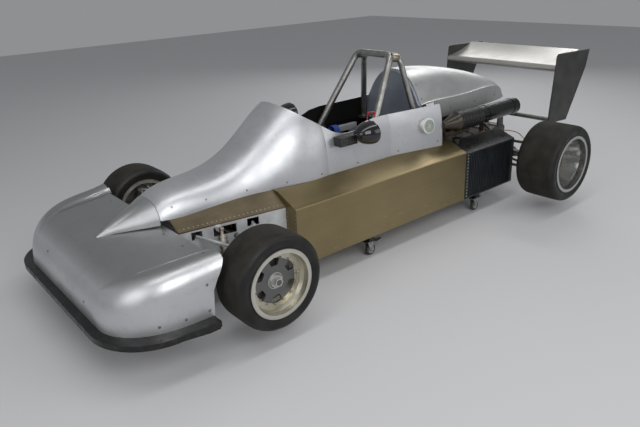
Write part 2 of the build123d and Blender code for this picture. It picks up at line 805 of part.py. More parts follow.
# Filler cap: round flanged cap with a recessed face on the body's left side
with BuildPart() as filler_cap:
    with Locations(Plane(origin=(-352, 310, 724), z_dir=(0.092, 1, 0.1))):
        Cylinder(44, 44, align=(Align.CENTER, Align.CENTER, Align.MIN))
        with Locations((0, 0, 36)):
            Cylinder(52, 10, align=(Align.CENTER, Align.CENTER, Align.MIN))
        with Locations((0, 0, 43)):
            Cylinder(42, 6, align=(Align.CENTER, Align.CENTER, Align.MIN), mode=Mode.SUBTRACT)
            Cylinder(12, 5, align=(Align.CENTER, Align.CENTER, Align.MIN))
    add(body_form(-seat_gap, 0), mode=Mode.SUBTRACT)
write(filler_cap.part, "filler_cap")

# Mirrors: oval bowl on a foot at each side of the cockpit, its glass set into the rear
mirror_y = 398
mirror_z = 812
# Bowl sections: x, half width, half height
bowl_sections = ((235, 78, 68), (290, 70, 60), (338, 34, 28), (348, 14, 11))
glass_depth = 4
with BuildPart() as mirrors:
    for hand in (1, -1):
        for x, half, height in bowl_sections:
            with BuildSketch(across(x)):
                with Locations((hand * mirror_y, mirror_z)):
                    Ellipse(half, height)
        loft(ruled=True)
        x, half, height = bowl_sections[0]
        with BuildSketch(across(x)):
            with Locations((hand * mirror_y, mirror_z)):
                Ellipse(half - skin, height - skin)
        extrude(amount=glass_depth, mode=Mode.SUBTRACT)
        with Locations((371, hand * 312, 769)):
            Box(142, 86, 54)
    add(body_form(-seat_gap, 0), mode=Mode.SUBTRACT)
write(mirrors.part, "mirrors")

# Seat: bent sheet that follows the driver's back and thighs, with a bolster along each side
seat_floor = tub_bottom_z + tub_floor + seat_gap
seat_half = 190
with BuildPart() as seat:
    with BuildSketch(side(seat_half)):
        Polygon(
            (560, 250), (300, seat_floor + 12), (20, seat_floor + 12), (-250, 640), (-262, 640),
            (10, seat_floor), (300, seat_floor), (560, 238),
            align=None,
        )
    extrude(amount=2 * seat_half)
    for y in (seat_half, -seat_half + skin):
        with BuildSketch(side(y)):
            Polygon(
                (560, 238), (540, 320), (320, 290), (110, 310), (-130, 660), (-262, 640),
                (10, seat_floor), (300, seat_floor),
                align=None,
            )
        extrude(amount=skin)
write(seat.part, "seat")

# Dash: sheet across the scuttle with a hole for the column and round instruments
column_run = Vector(column_end_x - wheel_hub_x, 0, column_end_z - wheel_hub_z)
dash_x = 660
dash_foot_z = deck_z(dash_x, 0) + seat_gap
dash_column_z = wheel_hub_z + (dash_x - wheel_hub_x) * column_run.Z / column_run.X
# Instruments: y, z, radius
instruments = ((0, 786, 38), (-92, 770, 26), (92, 770, 26), (-160, 750, 20), (160, 750, 20))
with BuildPart() as dash:
    with BuildSketch(across(dash_x)):
        Polygon((-220, 840), (-280, dash_foot_z), (280, dash_foot_z), (220, 840), align=None)
        with Locations((0, dash_column_z)):
            Circle(column_radius + 2 * run_gap, mode=Mode.SUBTRACT)
    extrude(amount=8)
    for y, z, radius in instruments:
        with Locations((dash_x, y, z)):
            Cylinder(radius, 14, rotation=(0, 90, 0))
        with Locations((dash_x - 7, y, z)):
            Cylinder(radius - 4, 5, rotation=(0, 90, 0), mode=Mode.SUBTRACT)
write(dash.part, "dash")

# Steering wheel: padded rim, three spokes and the column, which turns with it
column_plane = Plane(origin=(wheel_hub_x, 0, wheel_hub_z), x_dir=(0, 1, 0), z_dir=column_run)
with BuildPart(column_plane) as steering_wheel:
    Torus(125, 12)
    Cylinder(34, 14)
    for turn in (0, 180, 270):
        with Locations(Rot(0, 0, turn) * Pos(72, 0, 0)):
            Box(100, 22, 5)
    Cylinder(column_radius, column_run.length, align=(Align.CENTER, Align.CENTER, Align.MIN))
write(steering_wheel.part, "steering_wheel")

column_end = Vector(column_end_x, 0, column_end_z)
pinion_z = column_end_z + (rack_x - column_end_x) * column_run.Z / column_run.X

# Rack housing: tube across the frame with a tower for the column, on two posts
with BuildPart() as rack_housing:
    with Locations((rack_x, 0, arm_z)):
        Cylinder(rack_radius + 8, 2 * rack_housing_half, rotation=(90, 0, 0))
    add(rod((rack_x, 0, arm_z), (rack_x, 0, pinion_z), 20))
    add(rod((rack_x, 0, pinion_z), column_end + column_run.normalized() * seat_gap, 17))
    for hand in (1, -1):
        with Locations((rack_x, hand * (rack_housing_half - 15), (tub_bottom_z + frame_wall + arm_z) / 2)):
            Box(24, 24, arm_z - tub_bottom_z - frame_wall)
    with Locations((rack_x, 0, arm_z)):
        Cylinder(rack_radius + fit_gap, 600, rotation=(90, 0, 0), mode=Mode.SUBTRACT)
write(rack_housing.part, "rack_housing")

# Steering rack: bar and track rods that slide across and push the steering arms
with BuildPart() as steering_rack:
    with Locations((rack_x, 0, arm_z)):
        Cylinder(rack_radius, 2 * (kingpin_y - 14), rotation=(90, 0, 0))
    for hand in (1, -1):
        with Locations((rack_x, hand * kingpin_y, arm_z)):
            Cylinder(18, 14)
            Cylinder(12, 14, mode=Mode.SUBTRACT)
write(steering_rack.part, "steering_rack")

# Front wishbones: upper and lower arm at each side, each with an eye over or under the kingpin
upper_ball_z = front_axle_z + knuckle_height / 2 + seat_gap
lower_ball_z = front_axle_z - knuckle_height / 2 - seat_gap - ball_height
lower_arm_z = lower_ball_z + ball_height / 2
with BuildPart() as front_wishbones:
    for hand in (1, -1):
        for ahead, foot_z, length in upper_feet:
            foot_x = front_axle_x + ahead
            foot = (foot_x, hand * (frame_half(foot_x) - frame_wall), foot_z)
            add(rod(foot, (front_axle_x, hand * kingpin_y, upper_ball_z + ball_height / 2), front_arm_radius))
        for ahead, foot_z in lower_feet:
            foot_x = front_axle_x + ahead
            foot = (foot_x, hand * (frame_half(foot_x) + lower_foot_out), foot_z)
            add(rod(foot, (front_axle_x, hand * kingpin_y, lower_arm_z), front_arm_radius))
            with Locations(foot):
                Cylinder(front_eye_radius, 26, rotation=(0, 90, 0))
        for eye_z in (upper_ball_z, lower_ball_z):
            with Locations((front_axle_x, hand * kingpin_y, eye_z)):
                Cylinder(17, ball_height, align=(Align.CENTER, Align.CENTER, Align.MIN))
write(front_wishbones.part, "front_wishbones")

# Front dampers: spring and damper leaning in from the front lower arm to the frame
lower_foot_x = front_axle_x + lower_feet[0][0]
lower_foot_y = frame_half(lower_foot_x) + lower_foot_out
damper_foot_y = 480
damper_share = (damper_foot_y - lower_foot_y) / (kingpin_y - lower_foot_y)
damper_foot_x = lower_foot_x + damper_share * (front_axle_x - lower_foot_x)
damper_foot_z = lower_feet[0][1] + damper_share * (lower_arm_z - lower_feet[0][1]) + front_arm_radius
spring_turns = 7


def damper(foot, head, rod_radius, spring_radius, low_share, high_share):
    """Damper from foot to head: rod, body, spring seats and the spring's turns as rings"""
    run = Vector(*head) - Vector(*foot)
    with BuildPart() as unit:
        add(rod(foot, head, rod_radius))
        low = Vector(*foot) + run * low_share
        high = Vector(*foot) + run * high_share
        add(rod(low, high, spring_radius - 5))
        for share in range(spring_turns + 1):
            start = low + (high - low) * (share / (spring_turns + 1) + 0.03)
            add(rod(start, start + run.normalized() * 9, spring_radius))
    return unit.part


with BuildPart() as front_dampers:
    for hand in (1, -1):
        foot = (damper_foot_x, hand * damper_foot_y, damper_foot_z + damper_eye + seat_gap)
        head = (damper_head_x, hand * (bracket_face + damper_eye + seat_gap), damper_head_z)
        add(damper(foot, head, 10, 26, 0.16, 0.88))
        with Locations(foot, head):
            Cylinder(damper_eye, 20, rotation=(0, 90, 0))
write(front_dampers.part, "front_dampers")

# Knuckles: upright, stub axle, steering arm and brake caliper of each front wheel
knuckle_corner = 5
pad_gap = run_gap
stub_end_y = front_face_y - front_disc_depth - 6
caliper_inner_y = brake_disc_y - front_brake_thickness / 2 - pad_gap
caliper_outer_y = brake_disc_y + front_brake_thickness / 2 + pad_gap
for hand, label in ((1, "knuckle_left"), (-1, "knuckle_right")):
    hub_start = (front_axle_x, hand * (kingpin_y + 20), front_axle_z)
    with BuildPart() as knuckle:
        with BuildSketch(side(hand * kingpin_y + knuckle_width / 2)):
            with Locations((front_axle_x, front_axle_z)):
                RectangleRounded(knuckle_length, knuckle_height, knuckle_corner)
                Circle(44)
        extrude(amount=knuckle_width)
        add(rod(hub_start, (front_axle_x, hand * stub_end_y, front_axle_z), stub_radius))
        add(rod(hub_start, (front_axle_x, hand * (kingpin_y + 34), front_axle_z), 34))
        with Locations((front_axle_x - steering_arm / 2, hand * kingpin_y, arm_z - 18)):
            Box(steering_arm, 20, 8)
        with Locations((rack_x, hand * kingpin_y, arm_z - 22)):
            Cylinder(14, 8, align=(Align.CENTER, Align.CENTER, Align.MIN))
            Cylinder(6, 38, align=(Align.CENTER, Align.CENTER, Align.MIN))
        # Caliper: inner half, bridge over the disc and outer half, as x from and to, y from and to
        bridge_x = front_brake_radius + run_gap
        for x_from, x_to, y_from, y_to in (
            (20, bridge_x + 12, kingpin_y + 5, caliper_inner_y),
            (bridge_x, bridge_x + 12, caliper_inner_y - 4, caliper_outer_y + 10),
            (70, bridge_x + 12, caliper_outer_y, caliper_outer_y + 10),
        ):
            with Locations((front_axle_x + (x_from + x_to) / 2, hand * (y_from + y_to) / 2, front_axle_z)):
                Box(x_to - x_from, y_to - y_from, 50)
    write(knuckle.part, label)


def tyre_outline(radius, width, bead, flange):
    """Half section of a smooth racing tyre, as distance out from the axle and along it"""
    half = width / 2
    wall = half - tyre_bead_inset
    outer = (
        (bead + seat_gap, wall), (flange, wall), ((flange + radius) / 2, half),
        (radius - tyre_shoulder / 2, half - tyre_shoulder / 4), (radius, half - tyre_shoulder),
    )
    return (*outer, *((out, -along) for out, along in reversed(outer)))


def rim_outline(width, bead, flange, depth, cone_length):
    """Half section of a rim: barrel, two lips, dished centre, bolt ring and boss"""
    inside = bead - rim_wall
    seat = width / 2 - tyre_bead_inset + seat_gap
    lip = seat + flange_width
    face = width / 2 - depth
    back = face - wheel_disc_thickness
    ring = face + bolt_ring_height
    ring_inner = bolt_ring_radius - bolt_ring_width
    boss_out = face + wheel_boss_height
    return (
        (0, boss_out - wheel_boss_length), (wheel_boss_radius, boss_out - wheel_boss_length),
        (wheel_boss_radius, back), (bolt_ring_radius, back),
        (inside, back + cone_length), (inside, -lip), (flange, -lip), (flange, -seat), (bead, -seat),
        (bead, seat), (flange, seat), (flange, lip), (inside, lip),
        (inside, ring + cone_length), (bolt_ring_radius, ring), (ring_inner, ring), (ring_inner, face),
        (wheel_boss_radius, face), (wheel_boss_radius - 8, boss_out), (0, boss_out),
    )


# Wheels: name, x, z, side, face y, tyre radius, width, bead, flange, disc depth, cone length
front_sizes = (
    front_face_y, front_tyre_radius, front_tyre_width, front_bead_radius, front_flange_radius,
    front_disc_depth, front_cone_length,
)
rear_sizes = (
    rear_face_y, rear_tyre_radius, rear_tyre_width, rear_bead_radius, rear_flange_radius,
    rear_disc_depth, rear_cone_length,
)
wheel_table = (
    ("front_left", front_axle_x, front_axle_z, 1, *front_sizes),
    ("front_right", front_axle_x, front_axle_z, -1, *front_sizes),
    ("rear_left", rear_axle_x, rear_axle_z, 1, *rear_sizes),
    ("rear_right", rear_axle_x, rear_axle_z, -1, *rear_sizes),
)
window_inner = 84
window_outer = 122
window_half_angle = 16
for label, x, z, hand, face_y, radius, width, bead, flange, depth, cone_length in wheel_table:
    middle = (x, hand * (face_y - width / 2), z)
    section_plane = Plane(origin=middle, x_dir=(1, 0, 0), z_dir=(0, 0, hand))
    axle_plane = Plane(origin=middle, x_dir=(1, 0, 0), z_dir=(0, hand, 0))
    with BuildPart() as tyre:
        with BuildSketch(section_plane):
            Polygon(*tyre_outline(radius, width, bead, flange), align=None)
        revolve(axis=Axis(middle, (0, 1, 0)))
    write(tyre.part, f"tyre_{label}")

    face = width / 2 - depth
    with BuildPart() as rim:
        with BuildSketch(section_plane):
            Polygon(*rim_outline(width, bead, flange, depth, cone_length), align=None)
        revolve(axis=Axis(middle, (0, 1, 0)))
        # Bolts that join the two halves of the rim, and the wheel nut
        with Locations(axle_plane.offset(face + bolt_ring_height)):
            with PolarLocations(bolt_ring_radius - bolt_ring_width / 2, rim_bolts):
                Cylinder(5, 4, align=(Align.CENTER, Align.CENTER, Align.MIN))
        with BuildSketch(axle_plane.offset(face + wheel_boss_height)):
            RegularPolygon(24, 6)
        extrude(amount=20)
        # Ventilation windows inside the bolt ring
        with BuildSketch(axle_plane.offset(face - wheel_disc_thickness - 1)) as windows:
            wide = radians(window_half_angle)
            with PolarLocations(0, rim_windows, start_angle=30):
                Polygon(
                    (window_inner * cos(wide), -window_inner * sin(wide) + 4),
                    (window_outer * cos(wide), -window_outer * sin(wide)),
                    (window_outer * cos(wide) + 5, 0),
                    (window_outer * cos(wide), window_outer * sin(wide)),
                    (window_inner * cos(wide), window_inner * sin(wide) - 4),
                    align=None,
                )
            fillet(windows.vertices(), radius=6)
        extrude(amount=wheel_disc_thickness + 2, mode=Mode.SUBTRACT)
        with Locations(axle_plane.offset(-width / 2)):
            Cylinder(
                stub_radius + fit_gap, width / 2 + face - 4,
                align=(Align.CENTER, Align.CENTER, Align.MIN), mode=Mode.SUBTRACT,
            )
    write(rim.part, f"rim_{label}")

# Front brake discs: a ring on a bell behind each front rim, turning with it
rim_back_y = front_face_y - front_disc_depth + wheel_boss_height - wheel_boss_length
disc_inner_y = brake_disc_y - front_brake_thickness / 2
for hand, label in ((1, "brake_disc_front_left"), (-1, "brake_disc_front_right")):
    with BuildPart() as brake_disc:
        with BuildSketch(Plane(origin=(front_axle_x, 0, front_axle_z), x_dir=(1, 0, 0), z_dir=(0, 0, hand))):
            Polygon(
                (stub_radius + 2, rim_back_y - seat_gap), (stub_radius + 2, rim_back_y - 6),
                (62, rim_back_y - 6), (62, disc_inner_y), (front_brake_radius, disc_inner_y),
                (front_brake_radius, disc_inner_y + front_brake_thickness),
                (68, disc_inner_y + front_brake_thickness), (68, rim_back_y - seat_gap),
                align=None,
            )
        revolve(axis=Axis((front_axle_x, 0, front_axle_z), (0, 1, 0)))
    write(brake_disc.part, label)

# Dolly: low tubular frame that lifts the car by its floor, one castor near each corner
castor_y = 410
castor_stations = (("front", 288), ("rear", -808))
rail_y = 250
dolly_mid_z = castor_height + dolly_tube / 2
dolly_mid_x = (castor_stations[0][1] + castor_stations[1][1]) / 2
dolly_length = castor_stations[0][1] - castor_stations[1][1]
with BuildPart() as dolly_frame:
    for place, x in castor_stations:
        with Locations((x, 0, dolly_mid_z)):
            Box(dolly_tube, 2 * castor_y + 80, dolly_tube)
        for hand in (1, -1):
            with Locations((x, hand * castor_y, castor_height)):
                Box(90, 76, 5, align=(Align.CENTER, Align.CENTER, Align.MIN))
    for hand in (1, -1):
        with Locations((dolly_mid_x, hand * rail_y, dolly_mid_z)):
            Box(dolly_length, dolly_tube, dolly_tube)
write(dolly_frame.part, "dolly_frame")

# Castors: swivelling fork and its wheel at each corner of the dolly
castor_wheel_radius = 38
castor_wheel_width = 24
castor_wheel_edge = 5
castor_pin_radius = 4
castor_trail = 22
cheek_thickness = 3
cheek_y = 18.5
for place, x in castor_stations:
    for hand, name in ((1, "left"), (-1, "right")):
        y = hand * castor_y
        wheel_x = x - castor_trail
        with BuildPart() as fork:
            with Locations((x, y, castor_height - seat_gap)):
                Cylinder(26, 12, align=(Align.CENTER, Align.CENTER, Align.MAX))
            with Locations((x - castor_trail / 2, y, castor_height - 12)):
                Box(46, 40, 5, align=(Align.CENTER, Align.CENTER, Align.MAX))
            for cheek in (1, -1):
                with BuildSketch(side(y + cheek * cheek_y + cheek_thickness / 2)):
                    Polygon(
                        (x + 12, castor_height - 14), (wheel_x - 12, castor_height - 14),
                        (wheel_x - 12, castor_wheel_radius - 10), (wheel_x + 12, castor_wheel_radius - 10),
                        align=None,
                    )
                extrude(amount=cheek_thickness)
            with Locations((wheel_x, y, castor_wheel_radius)):
                Cylinder(castor_pin_radius, 2 * cheek_y + 1, rotation=(90, 0, 0))
        write(fork.part, f"castor_fork_{place}_{name}")
        with BuildPart() as roller:
            with Locations((wheel_x, y, castor_wheel_radius)):
                Cylinder(castor_wheel_radius, castor_wheel_width, rotation=(90, 0, 0))
                Cylinder(
                    castor_pin_radius + fit_gap, castor_wheel_width, rotation=(90, 0, 0),
                    mode=Mode.SUBTRACT,
                )
            rims = roller.edges().filter_by(GeomType.CIRCLE).group_by(SortBy.RADIUS)[-1]
            chamfer(rims, length=castor_wheel_edge)
        write(roller.part, f"castor_wheel_{place}_{name}")

# Rear uprights: castings that carry the rear hubs, each with its brake caliper
bearing_radius = 40
upright_outer_y = rear_upright_y + rear_upright_width / 2
rear_pad_y = rear_brake_y - rear_brake_thickness / 2 - pad_gap
rear_far_y = rear_brake_y + rear_brake_thickness / 2 + pad_gap
with BuildPart() as rear_uprights:
    for hand in (1, -1):
        with BuildSketch(side(hand * rear_upright_y + rear_upright_width / 2)):
            with Locations((rear_axle_x, rear_axle_z)):
                RectangleRounded(90, 200, 16)
                Circle(bearing_radius + 22)
        extrude(amount=rear_upright_width)
        # Caliper: inner half, bridge and outer half, as x from and to, y from and to
        bridge_x = rear_brake_radius + run_gap + 1
        for x_from, x_to, y_from, y_to in (
            (30, bridge_x + 14, upright_outer_y - 10, rear_pad_y),
            (bridge_x, bridge_x + 14, rear_pad_y - 4, rear_far_y + 12),
            (84, bridge_x + 14, rear_far_y, rear_far_y + 12),
        ):
            with Locations((rear_axle_x + (x_from + x_to) / 2, hand * (y_from + y_to) / 2, rear_axle_z)):
                Box(x_to - x_from, y_to - y_from, 60)
        with Locations((rear_axle_x, hand * (upright_outer_y - rear_upright_width / 2), rear_axle_z)):
            Cylinder(bearing_radius + fit_gap, rear_upright_width, rotation=(90, 0, 0), mode=Mode.SUBTRACT)
        with Locations((rear_axle_x, hand * (upright_outer_y + 15), rear_axle_z)):
            Cylinder(60 + run_gap, 30, rotation=(90, 0, 0), mode=Mode.SUBTRACT)
write(rear_uprights.part, "rear_uprights")

# Drive shafts: from the gearbox to the rear wheel, each with its brake disc, turning with the wheel
rear_hub_y = rear_face_y - rear_disc_depth + wheel_boss_height - wheel_boss_length - seat_gap
# Pieces along the shaft: from y, to y, radius
shaft_pieces = (
    (gearbox_half + 6, rear_hub_y, 14),
    (gearbox_half + 6, gearbox_half + 78, 44),
    (rear_upright_y - 90, rear_upright_y - 34, 38),
    (rear_upright_y - 34, upright_outer_y, bearing_radius),
    (upright_outer_y, rear_hub_y, 60),
    (rear_brake_y - rear_brake_thickness / 2, rear_brake_y + rear_brake_thickness / 2, rear_brake_radius),
    (rear_hub_y, rear_hub_y + 20, stub_radius),
)
for hand, label in ((1, "drive_shaft_left"), (-1, "drive_shaft_right")):
    with BuildPart() as shaft:
        for y_from, y_to, radius in shaft_pieces:
            start = (rear_axle_x, hand * y_from, rear_axle_z)
            add(rod(start, (rear_axle_x, hand * y_to, rear_axle_z), radius))
    write(shaft.part, label)

# Rear links: lower arms and top link of each side, as x behind the axle, y and z at foot and end
link_rows = (
    ((-80, 80, 275), (-18, 575, 268)),
    ((190, 80, 275), (18, 575, 268)),
    ((10, 80, 430), (0, 575, 452)),
)
with BuildPart() as rear_links:
    for hand in (1, -1):
        for foot, end in link_rows:
            start, finish = [
                (rear_axle_x - behind, hand * y, z) for behind, y, z in (foot, end)
            ]
            add(rod(start, finish, rear_arm_radius))
        upright_face_y = hand * (rear_upright_y - rear_upright_width / 2 - seat_gap)
        with Locations((rear_axle_x, upright_face_y, rear_axle_z)):
            Box(
                500, 200, 500, mode=Mode.SUBTRACT,
                align=(Align.CENTER, Align.MIN if hand > 0 else Align.MAX, Align.CENTER),
            )
    with Locations((rear_axle_x, 0, rear_axle_z)):
        Box(500, 2 * (gearbox_half + seat_gap), 500, mode=Mode.SUBTRACT)
write(rear_links.part, "rear_links")

# Rear dampers: lean in from the rear lower arms to the gearbox
rear_eye = 14
rear_foot_y = 475
with BuildPart() as rear_dampers:
    for hand in (1, -1):
        foot = (rear_axle_x - 55, hand * rear_foot_y, 295.5)
        head = (rear_head_x, hand * (gearbox_half + rear_eye + seat_gap), rear_head_z)
        add(damper(foot, head, 12, 32, 0.15, 0.85))
        with Locations(foot, head):
            Cylinder(rear_eye, 24, rotation=(0, 90, 0))
write(rear_dampers.part, "rear_dampers")
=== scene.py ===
import math

import bpy
from mathutils import Matrix, Vector


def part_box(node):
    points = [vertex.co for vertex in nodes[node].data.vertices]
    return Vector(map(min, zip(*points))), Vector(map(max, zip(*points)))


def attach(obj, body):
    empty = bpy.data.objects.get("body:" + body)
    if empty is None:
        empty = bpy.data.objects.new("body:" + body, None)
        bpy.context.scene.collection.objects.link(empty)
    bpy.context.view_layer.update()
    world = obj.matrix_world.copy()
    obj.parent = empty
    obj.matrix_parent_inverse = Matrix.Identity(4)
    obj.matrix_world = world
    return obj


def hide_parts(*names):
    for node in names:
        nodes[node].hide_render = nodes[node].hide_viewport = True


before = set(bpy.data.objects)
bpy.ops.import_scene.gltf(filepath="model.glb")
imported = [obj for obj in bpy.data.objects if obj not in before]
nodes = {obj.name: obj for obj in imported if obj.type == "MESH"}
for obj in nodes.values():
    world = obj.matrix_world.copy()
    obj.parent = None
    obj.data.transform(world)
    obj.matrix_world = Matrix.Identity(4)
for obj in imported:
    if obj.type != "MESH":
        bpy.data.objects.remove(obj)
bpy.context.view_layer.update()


# Studio: a pale floor, soft lamps at a plain level, and the camera of the photograph. The camera
# was solved from the wheels and the tub, so that each piece falls on its own place in the picture.
def start_piece():
    """Clear the selection before a new primitive is added"""
    bpy.ops.object.select_all(action="DESELECT")


def rgba(colour):
    """Opaque colour from three values, or from one grey value"""
    return (*(colour if isinstance(colour, tuple) else (colour,) * 3), 1)


def new_finish(name, colour, metallic, roughness, sockets=()):
    """Material with its constants on the shader; returns its node tree and shader too"""
    material = bpy.data.materials.new(name)
    material.use_nodes = True
    shader = material.node_tree.nodes["Principled BSDF"]
    constants = (("Base Color", rgba(colour)), ("Metallic", metallic), ("Roughness", roughness))
    for socket, value in (*constants, *sockets):
        shader.inputs[socket].default_value = value
    return material, material.node_tree, shader


floor_half = 14
start_piece()
bpy.ops.mesh.primitive_plane_add(size=2 * floor_half, location=(0, 0, 0))
floor = bpy.context.object
floor.name = "studio_floor"
floor.data.materials.append(new_finish("studio_pale", (0.60, 0.60, 0.61), 0.0, 0.85)[0])

lamp_rows = (
    # name, place, aims at, width and height, watts
    ("lamp_key", (2.2, 5.2, 3.6), (0.5, 0, 0.4), (3.4, 3.4), 128),
    ("lamp_side", (-2.8, 5.0, 2.4), (-0.4, 0, 0.4), (3.0, 3.0), 38),
    ("lamp_front", (5.6, 1.8, 2.6), (0.8, 0, 0.4), (2.6, 2.6), 40),
    ("lamp_over", (0.6, 1.3, 4.4), (0.6, 0.2, 0), (6.4, 0.7), 50),
    ("lamp_back", (-5.2, -3.7, 2.8), (-0.4, 0, 0.5), (4.0, 2.0), 54),
    ("lamp_deck", (-4.2, -0.7, 4.0), (-0.3, 0.4, 0.6), (1.8, 0.6), 30),
)
for name, place, target, spread, watts in lamp_rows:
    lamp = bpy.data.lights.new(name, "AREA")
    lamp.shape = "RECTANGLE"
    lamp.energy = watts
    lamp.size, lamp.size_y = spread
    holder = bpy.data.objects.new(name, lamp)
    holder.location = place
    holder.visible_camera = False
    holder.rotation_euler = (Vector(target) - Vector(place)).to_track_quat("-Z", "Y").to_euler()
    bpy.context.scene.collection.objects.link(holder)

air = bpy.data.worlds.new("studio_air")
bpy.context.scene.world = air
air.use_nodes = True
air.node_tree.nodes["Background"].inputs["Color"].default_value = (0.80, 0.82, 0.85, 1)
air.node_tree.nodes["Background"].inputs["Strength"].default_value = 0.34

camera_place = (2.76643, 2.97013, 1.74237)
camera_heading = -2.2562
camera_dip = 0.3843
camera_roll = -0.0417
focal_share = 608.05 / 640
sensor_width = 36
camera_data = bpy.data.cameras.new("photo_camera")
camera_data.sensor_width = sensor_width
camera_data.lens = focal_share * sensor_width
camera = bpy.data.objects.new("photo_camera", camera_data)
camera.matrix_world = (
    Matrix.Translation(camera_place)
    @ Matrix.Rotation(camera_heading - math.pi / 2, 4, "Z")
    @ Matrix.Rotation(math.pi / 2 - camera_dip, 4, "X")
    @ Matrix.Rotation(camera_roll, 4, "Z")
)
bpy.context.scene.collection.objects.link(camera)
bpy.context.scene.camera = camera
bpy.context.scene.view_settings.view_transform = "Standard"


# Dolly: square steel tube, welded and painted satin black, on four small castors with pressed
# zinc forks and hard rubber wheels. Its paint is scuffed and the castors carry workshop dust.
def object_point(tree, scale=(1, 1, 1), shift=(0, 0, 0)):
    """Place on the piece in the car's own coordinates, scaled and then shifted"""
    place = tree.nodes.new("ShaderNodeTexCoord")
    mapping = tree.nodes.new("ShaderNodeMapping")
    mapping.inputs["Scale"].default_value = scale
    mapping.inputs["Location"].default_value = shift
    tree.links.new(place.outputs["Object"], mapping.inputs["Vector"])
    return mapping.outputs["Vector"]


def object_noise(tree, scale, detail, stretch=(1, 1, 1)):
    """Noise in the car's own coordinates, stretched along an axis for grain"""
    noise = tree.nodes.new("ShaderNodeTexNoise")
    noise.inputs["Scale"].default_value = scale
    noise.inputs["Detail"].default_value = detail
    tree.links.new(object_point(tree, stretch), noise.inputs["Vector"])
    return noise.outputs["Fac"]


def ramp(tree, source, stops, even=True):
    """Colour ramp over a factor; stops are (place, colour), stepped when even is False"""
    node = tree.nodes.new("ShaderNodeValToRGB")
    node.color_ramp.interpolation = "LINEAR" if even else "CONSTANT"
    elements = node.color_ramp.elements
    while len(elements) < len(stops):
        elements.new(0.5)
    for element, (place, colour) in zip(elements, stops):
        element.position = place
        element.color = rgba(colour)
    tree.links.new(source, node.inputs["Fac"])
    return node.outputs["Color"]


def grey_ramp(tree, source, low, high, start=0.3, end=0.7):
    """Ramp from one grey value to another, for roughness and masks"""
    return ramp(tree, source, ((start, low), (end, high)))


def blended(tree, factor, first, second):
    """Mix of two colours; each is a socket, a plain colour or a grey value"""
    node = tree.nodes.new("ShaderNodeMix")
    node.data_type = "RGBA"
    for socket, value in ((node.inputs["A"], first), (node.inputs["B"], second)):
        if isinstance(value, (tuple, float)):
            socket.default_value = rgba(value)
        else:
            tree.links.new(value, socket)
    tree.links.new(factor, node.inputs["Factor"])
    return node.outputs["Result"]


def bump(tree, shader, source, strength, distance):
    """Surface relief from a factor"""
    node = tree.nodes.new("ShaderNodeBump")
    node.inputs["Strength"].default_value = strength
    node.inputs["Distance"].default_value = distance
    tree.links.new(source, node.inputs["Height"])
    tree.links.new(node.outputs["Normal"], shader.inputs["Normal"])


def reach_from(tree, middle, keep=(1, 0, 1)):
    """Distance from an axle that crosses the car at middle, or from middle if keep is all ones"""
    length = tree.nodes.new("ShaderNodeVectorMath")
    length.operation = "LENGTH"
    shift = tuple(-value * kept for value, kept in zip(middle, keep))
    tree.links.new(object_point(tree, keep, shift), length.inputs[0])
    return length.outputs["Value"]


def wear(tree, shader, tint=None, gloss=None, relief=None, grain=(1, 1, 1)):
    """Let noise vary a finish; each argument starts with a noise's scale and detail

    tint goes on with colour stops, gloss with two roughness values, and relief with strength and
    depth. grain stretches the noise of gloss and relief.
    """
    if tint:
        scale, detail, *stops = tint
        tinted = ramp(tree, object_noise(tree, scale, detail), stops)
        tree.links.new(tinted, shader.inputs["Base Color"])
    if gloss:
        scale, detail, *values = gloss
        glossy = grey_ramp(tree, object_noise(tree, scale, detail, grain), *values)
        tree.links.new(glossy, shader.inputs["Roughness"])
    if relief:
        scale, detail, *values = relief
        bump(tree, shader, object_noise(tree, scale, detail, grain), *values)


def worn_finish(name, base, sockets=(), **worn):
    """Finish that only noise varies; base is its colour, metallic and roughness"""
    material, tree, shader = new_finish(name, *base, sockets)
    wear(tree, shader, **worn)
    return material


def dress(node_names, material):
    """Give CAD nodes their finish"""
    for name in node_names:
        mesh = nodes[name].data
        mesh.materials.clear()
        mesh.materials.append(material)


def nodes_like(start):
    """Names of the CAD nodes that start with this word"""
    return [name for name in nodes if name.startswith(start)]


def box_middle(node_name):
    """Middle of a CAD node's box"""
    low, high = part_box(node_name)
    return (low + high) / 2


satin_black = worn_finish(
    "satin_black", ((0.012, 0.012, 0.013), 0.0, 0.36),
    tint=(26.0, 9.0, (0.45, (0.010, 0.010, 0.011)), (0.8, (0.045, 0.042, 0.038))),
    gloss=(18.0, 6.0, 0.28, 0.55), relief=(500.0, 2.0, 0.05, 0.001),
)
dress(("dolly_frame",), satin_black)
zinc_plate = worn_finish(
    "zinc_plate", ((0.42, 0.43, 0.43), 0.9, 0.38),
    tint=(60.0, 6.0, (0.35, (0.26, 0.26, 0.25)), (0.7, (0.50, 0.51, 0.52))),
    gloss=(90.0, 5.0, 0.30, 0.55),
)
dress(nodes_like("castor_fork"), zinc_plate)

hub_radius = 0.021
for wheel_name in nodes_like("castor_wheel"):
    roller, tree, shader = new_finish(f"{wheel_name}_finish", 0.03, 0.0, 0.6)
    reach = reach_from(tree, box_middle(wheel_name))
    hub = ramp(tree, reach, ((0.0, 1.0), (hub_radius, 0.0)), even=False)
    tread = ramp(
        tree, object_noise(tree, 70.0, 6.0), ((0.4, 0.02), (0.75, (0.075, 0.07, 0.06))),
    )
    tree.links.new(blended(tree, hub, tread, (0.33, 0.32, 0.28)), shader.inputs["Base Color"])
    dress((wheel_name,), roller)


# Castor hardware: a bolt and nut clamp each fork's wheel, and a foot brake lever sticks out behind
# the front left castor. They are plated steel, made from bar and bent strip.
def pick(piece):
    """Select this piece alone and make it the active one"""
    start_piece()
    piece.select_set(True)
    bpy.context.view_layer.objects.active = piece


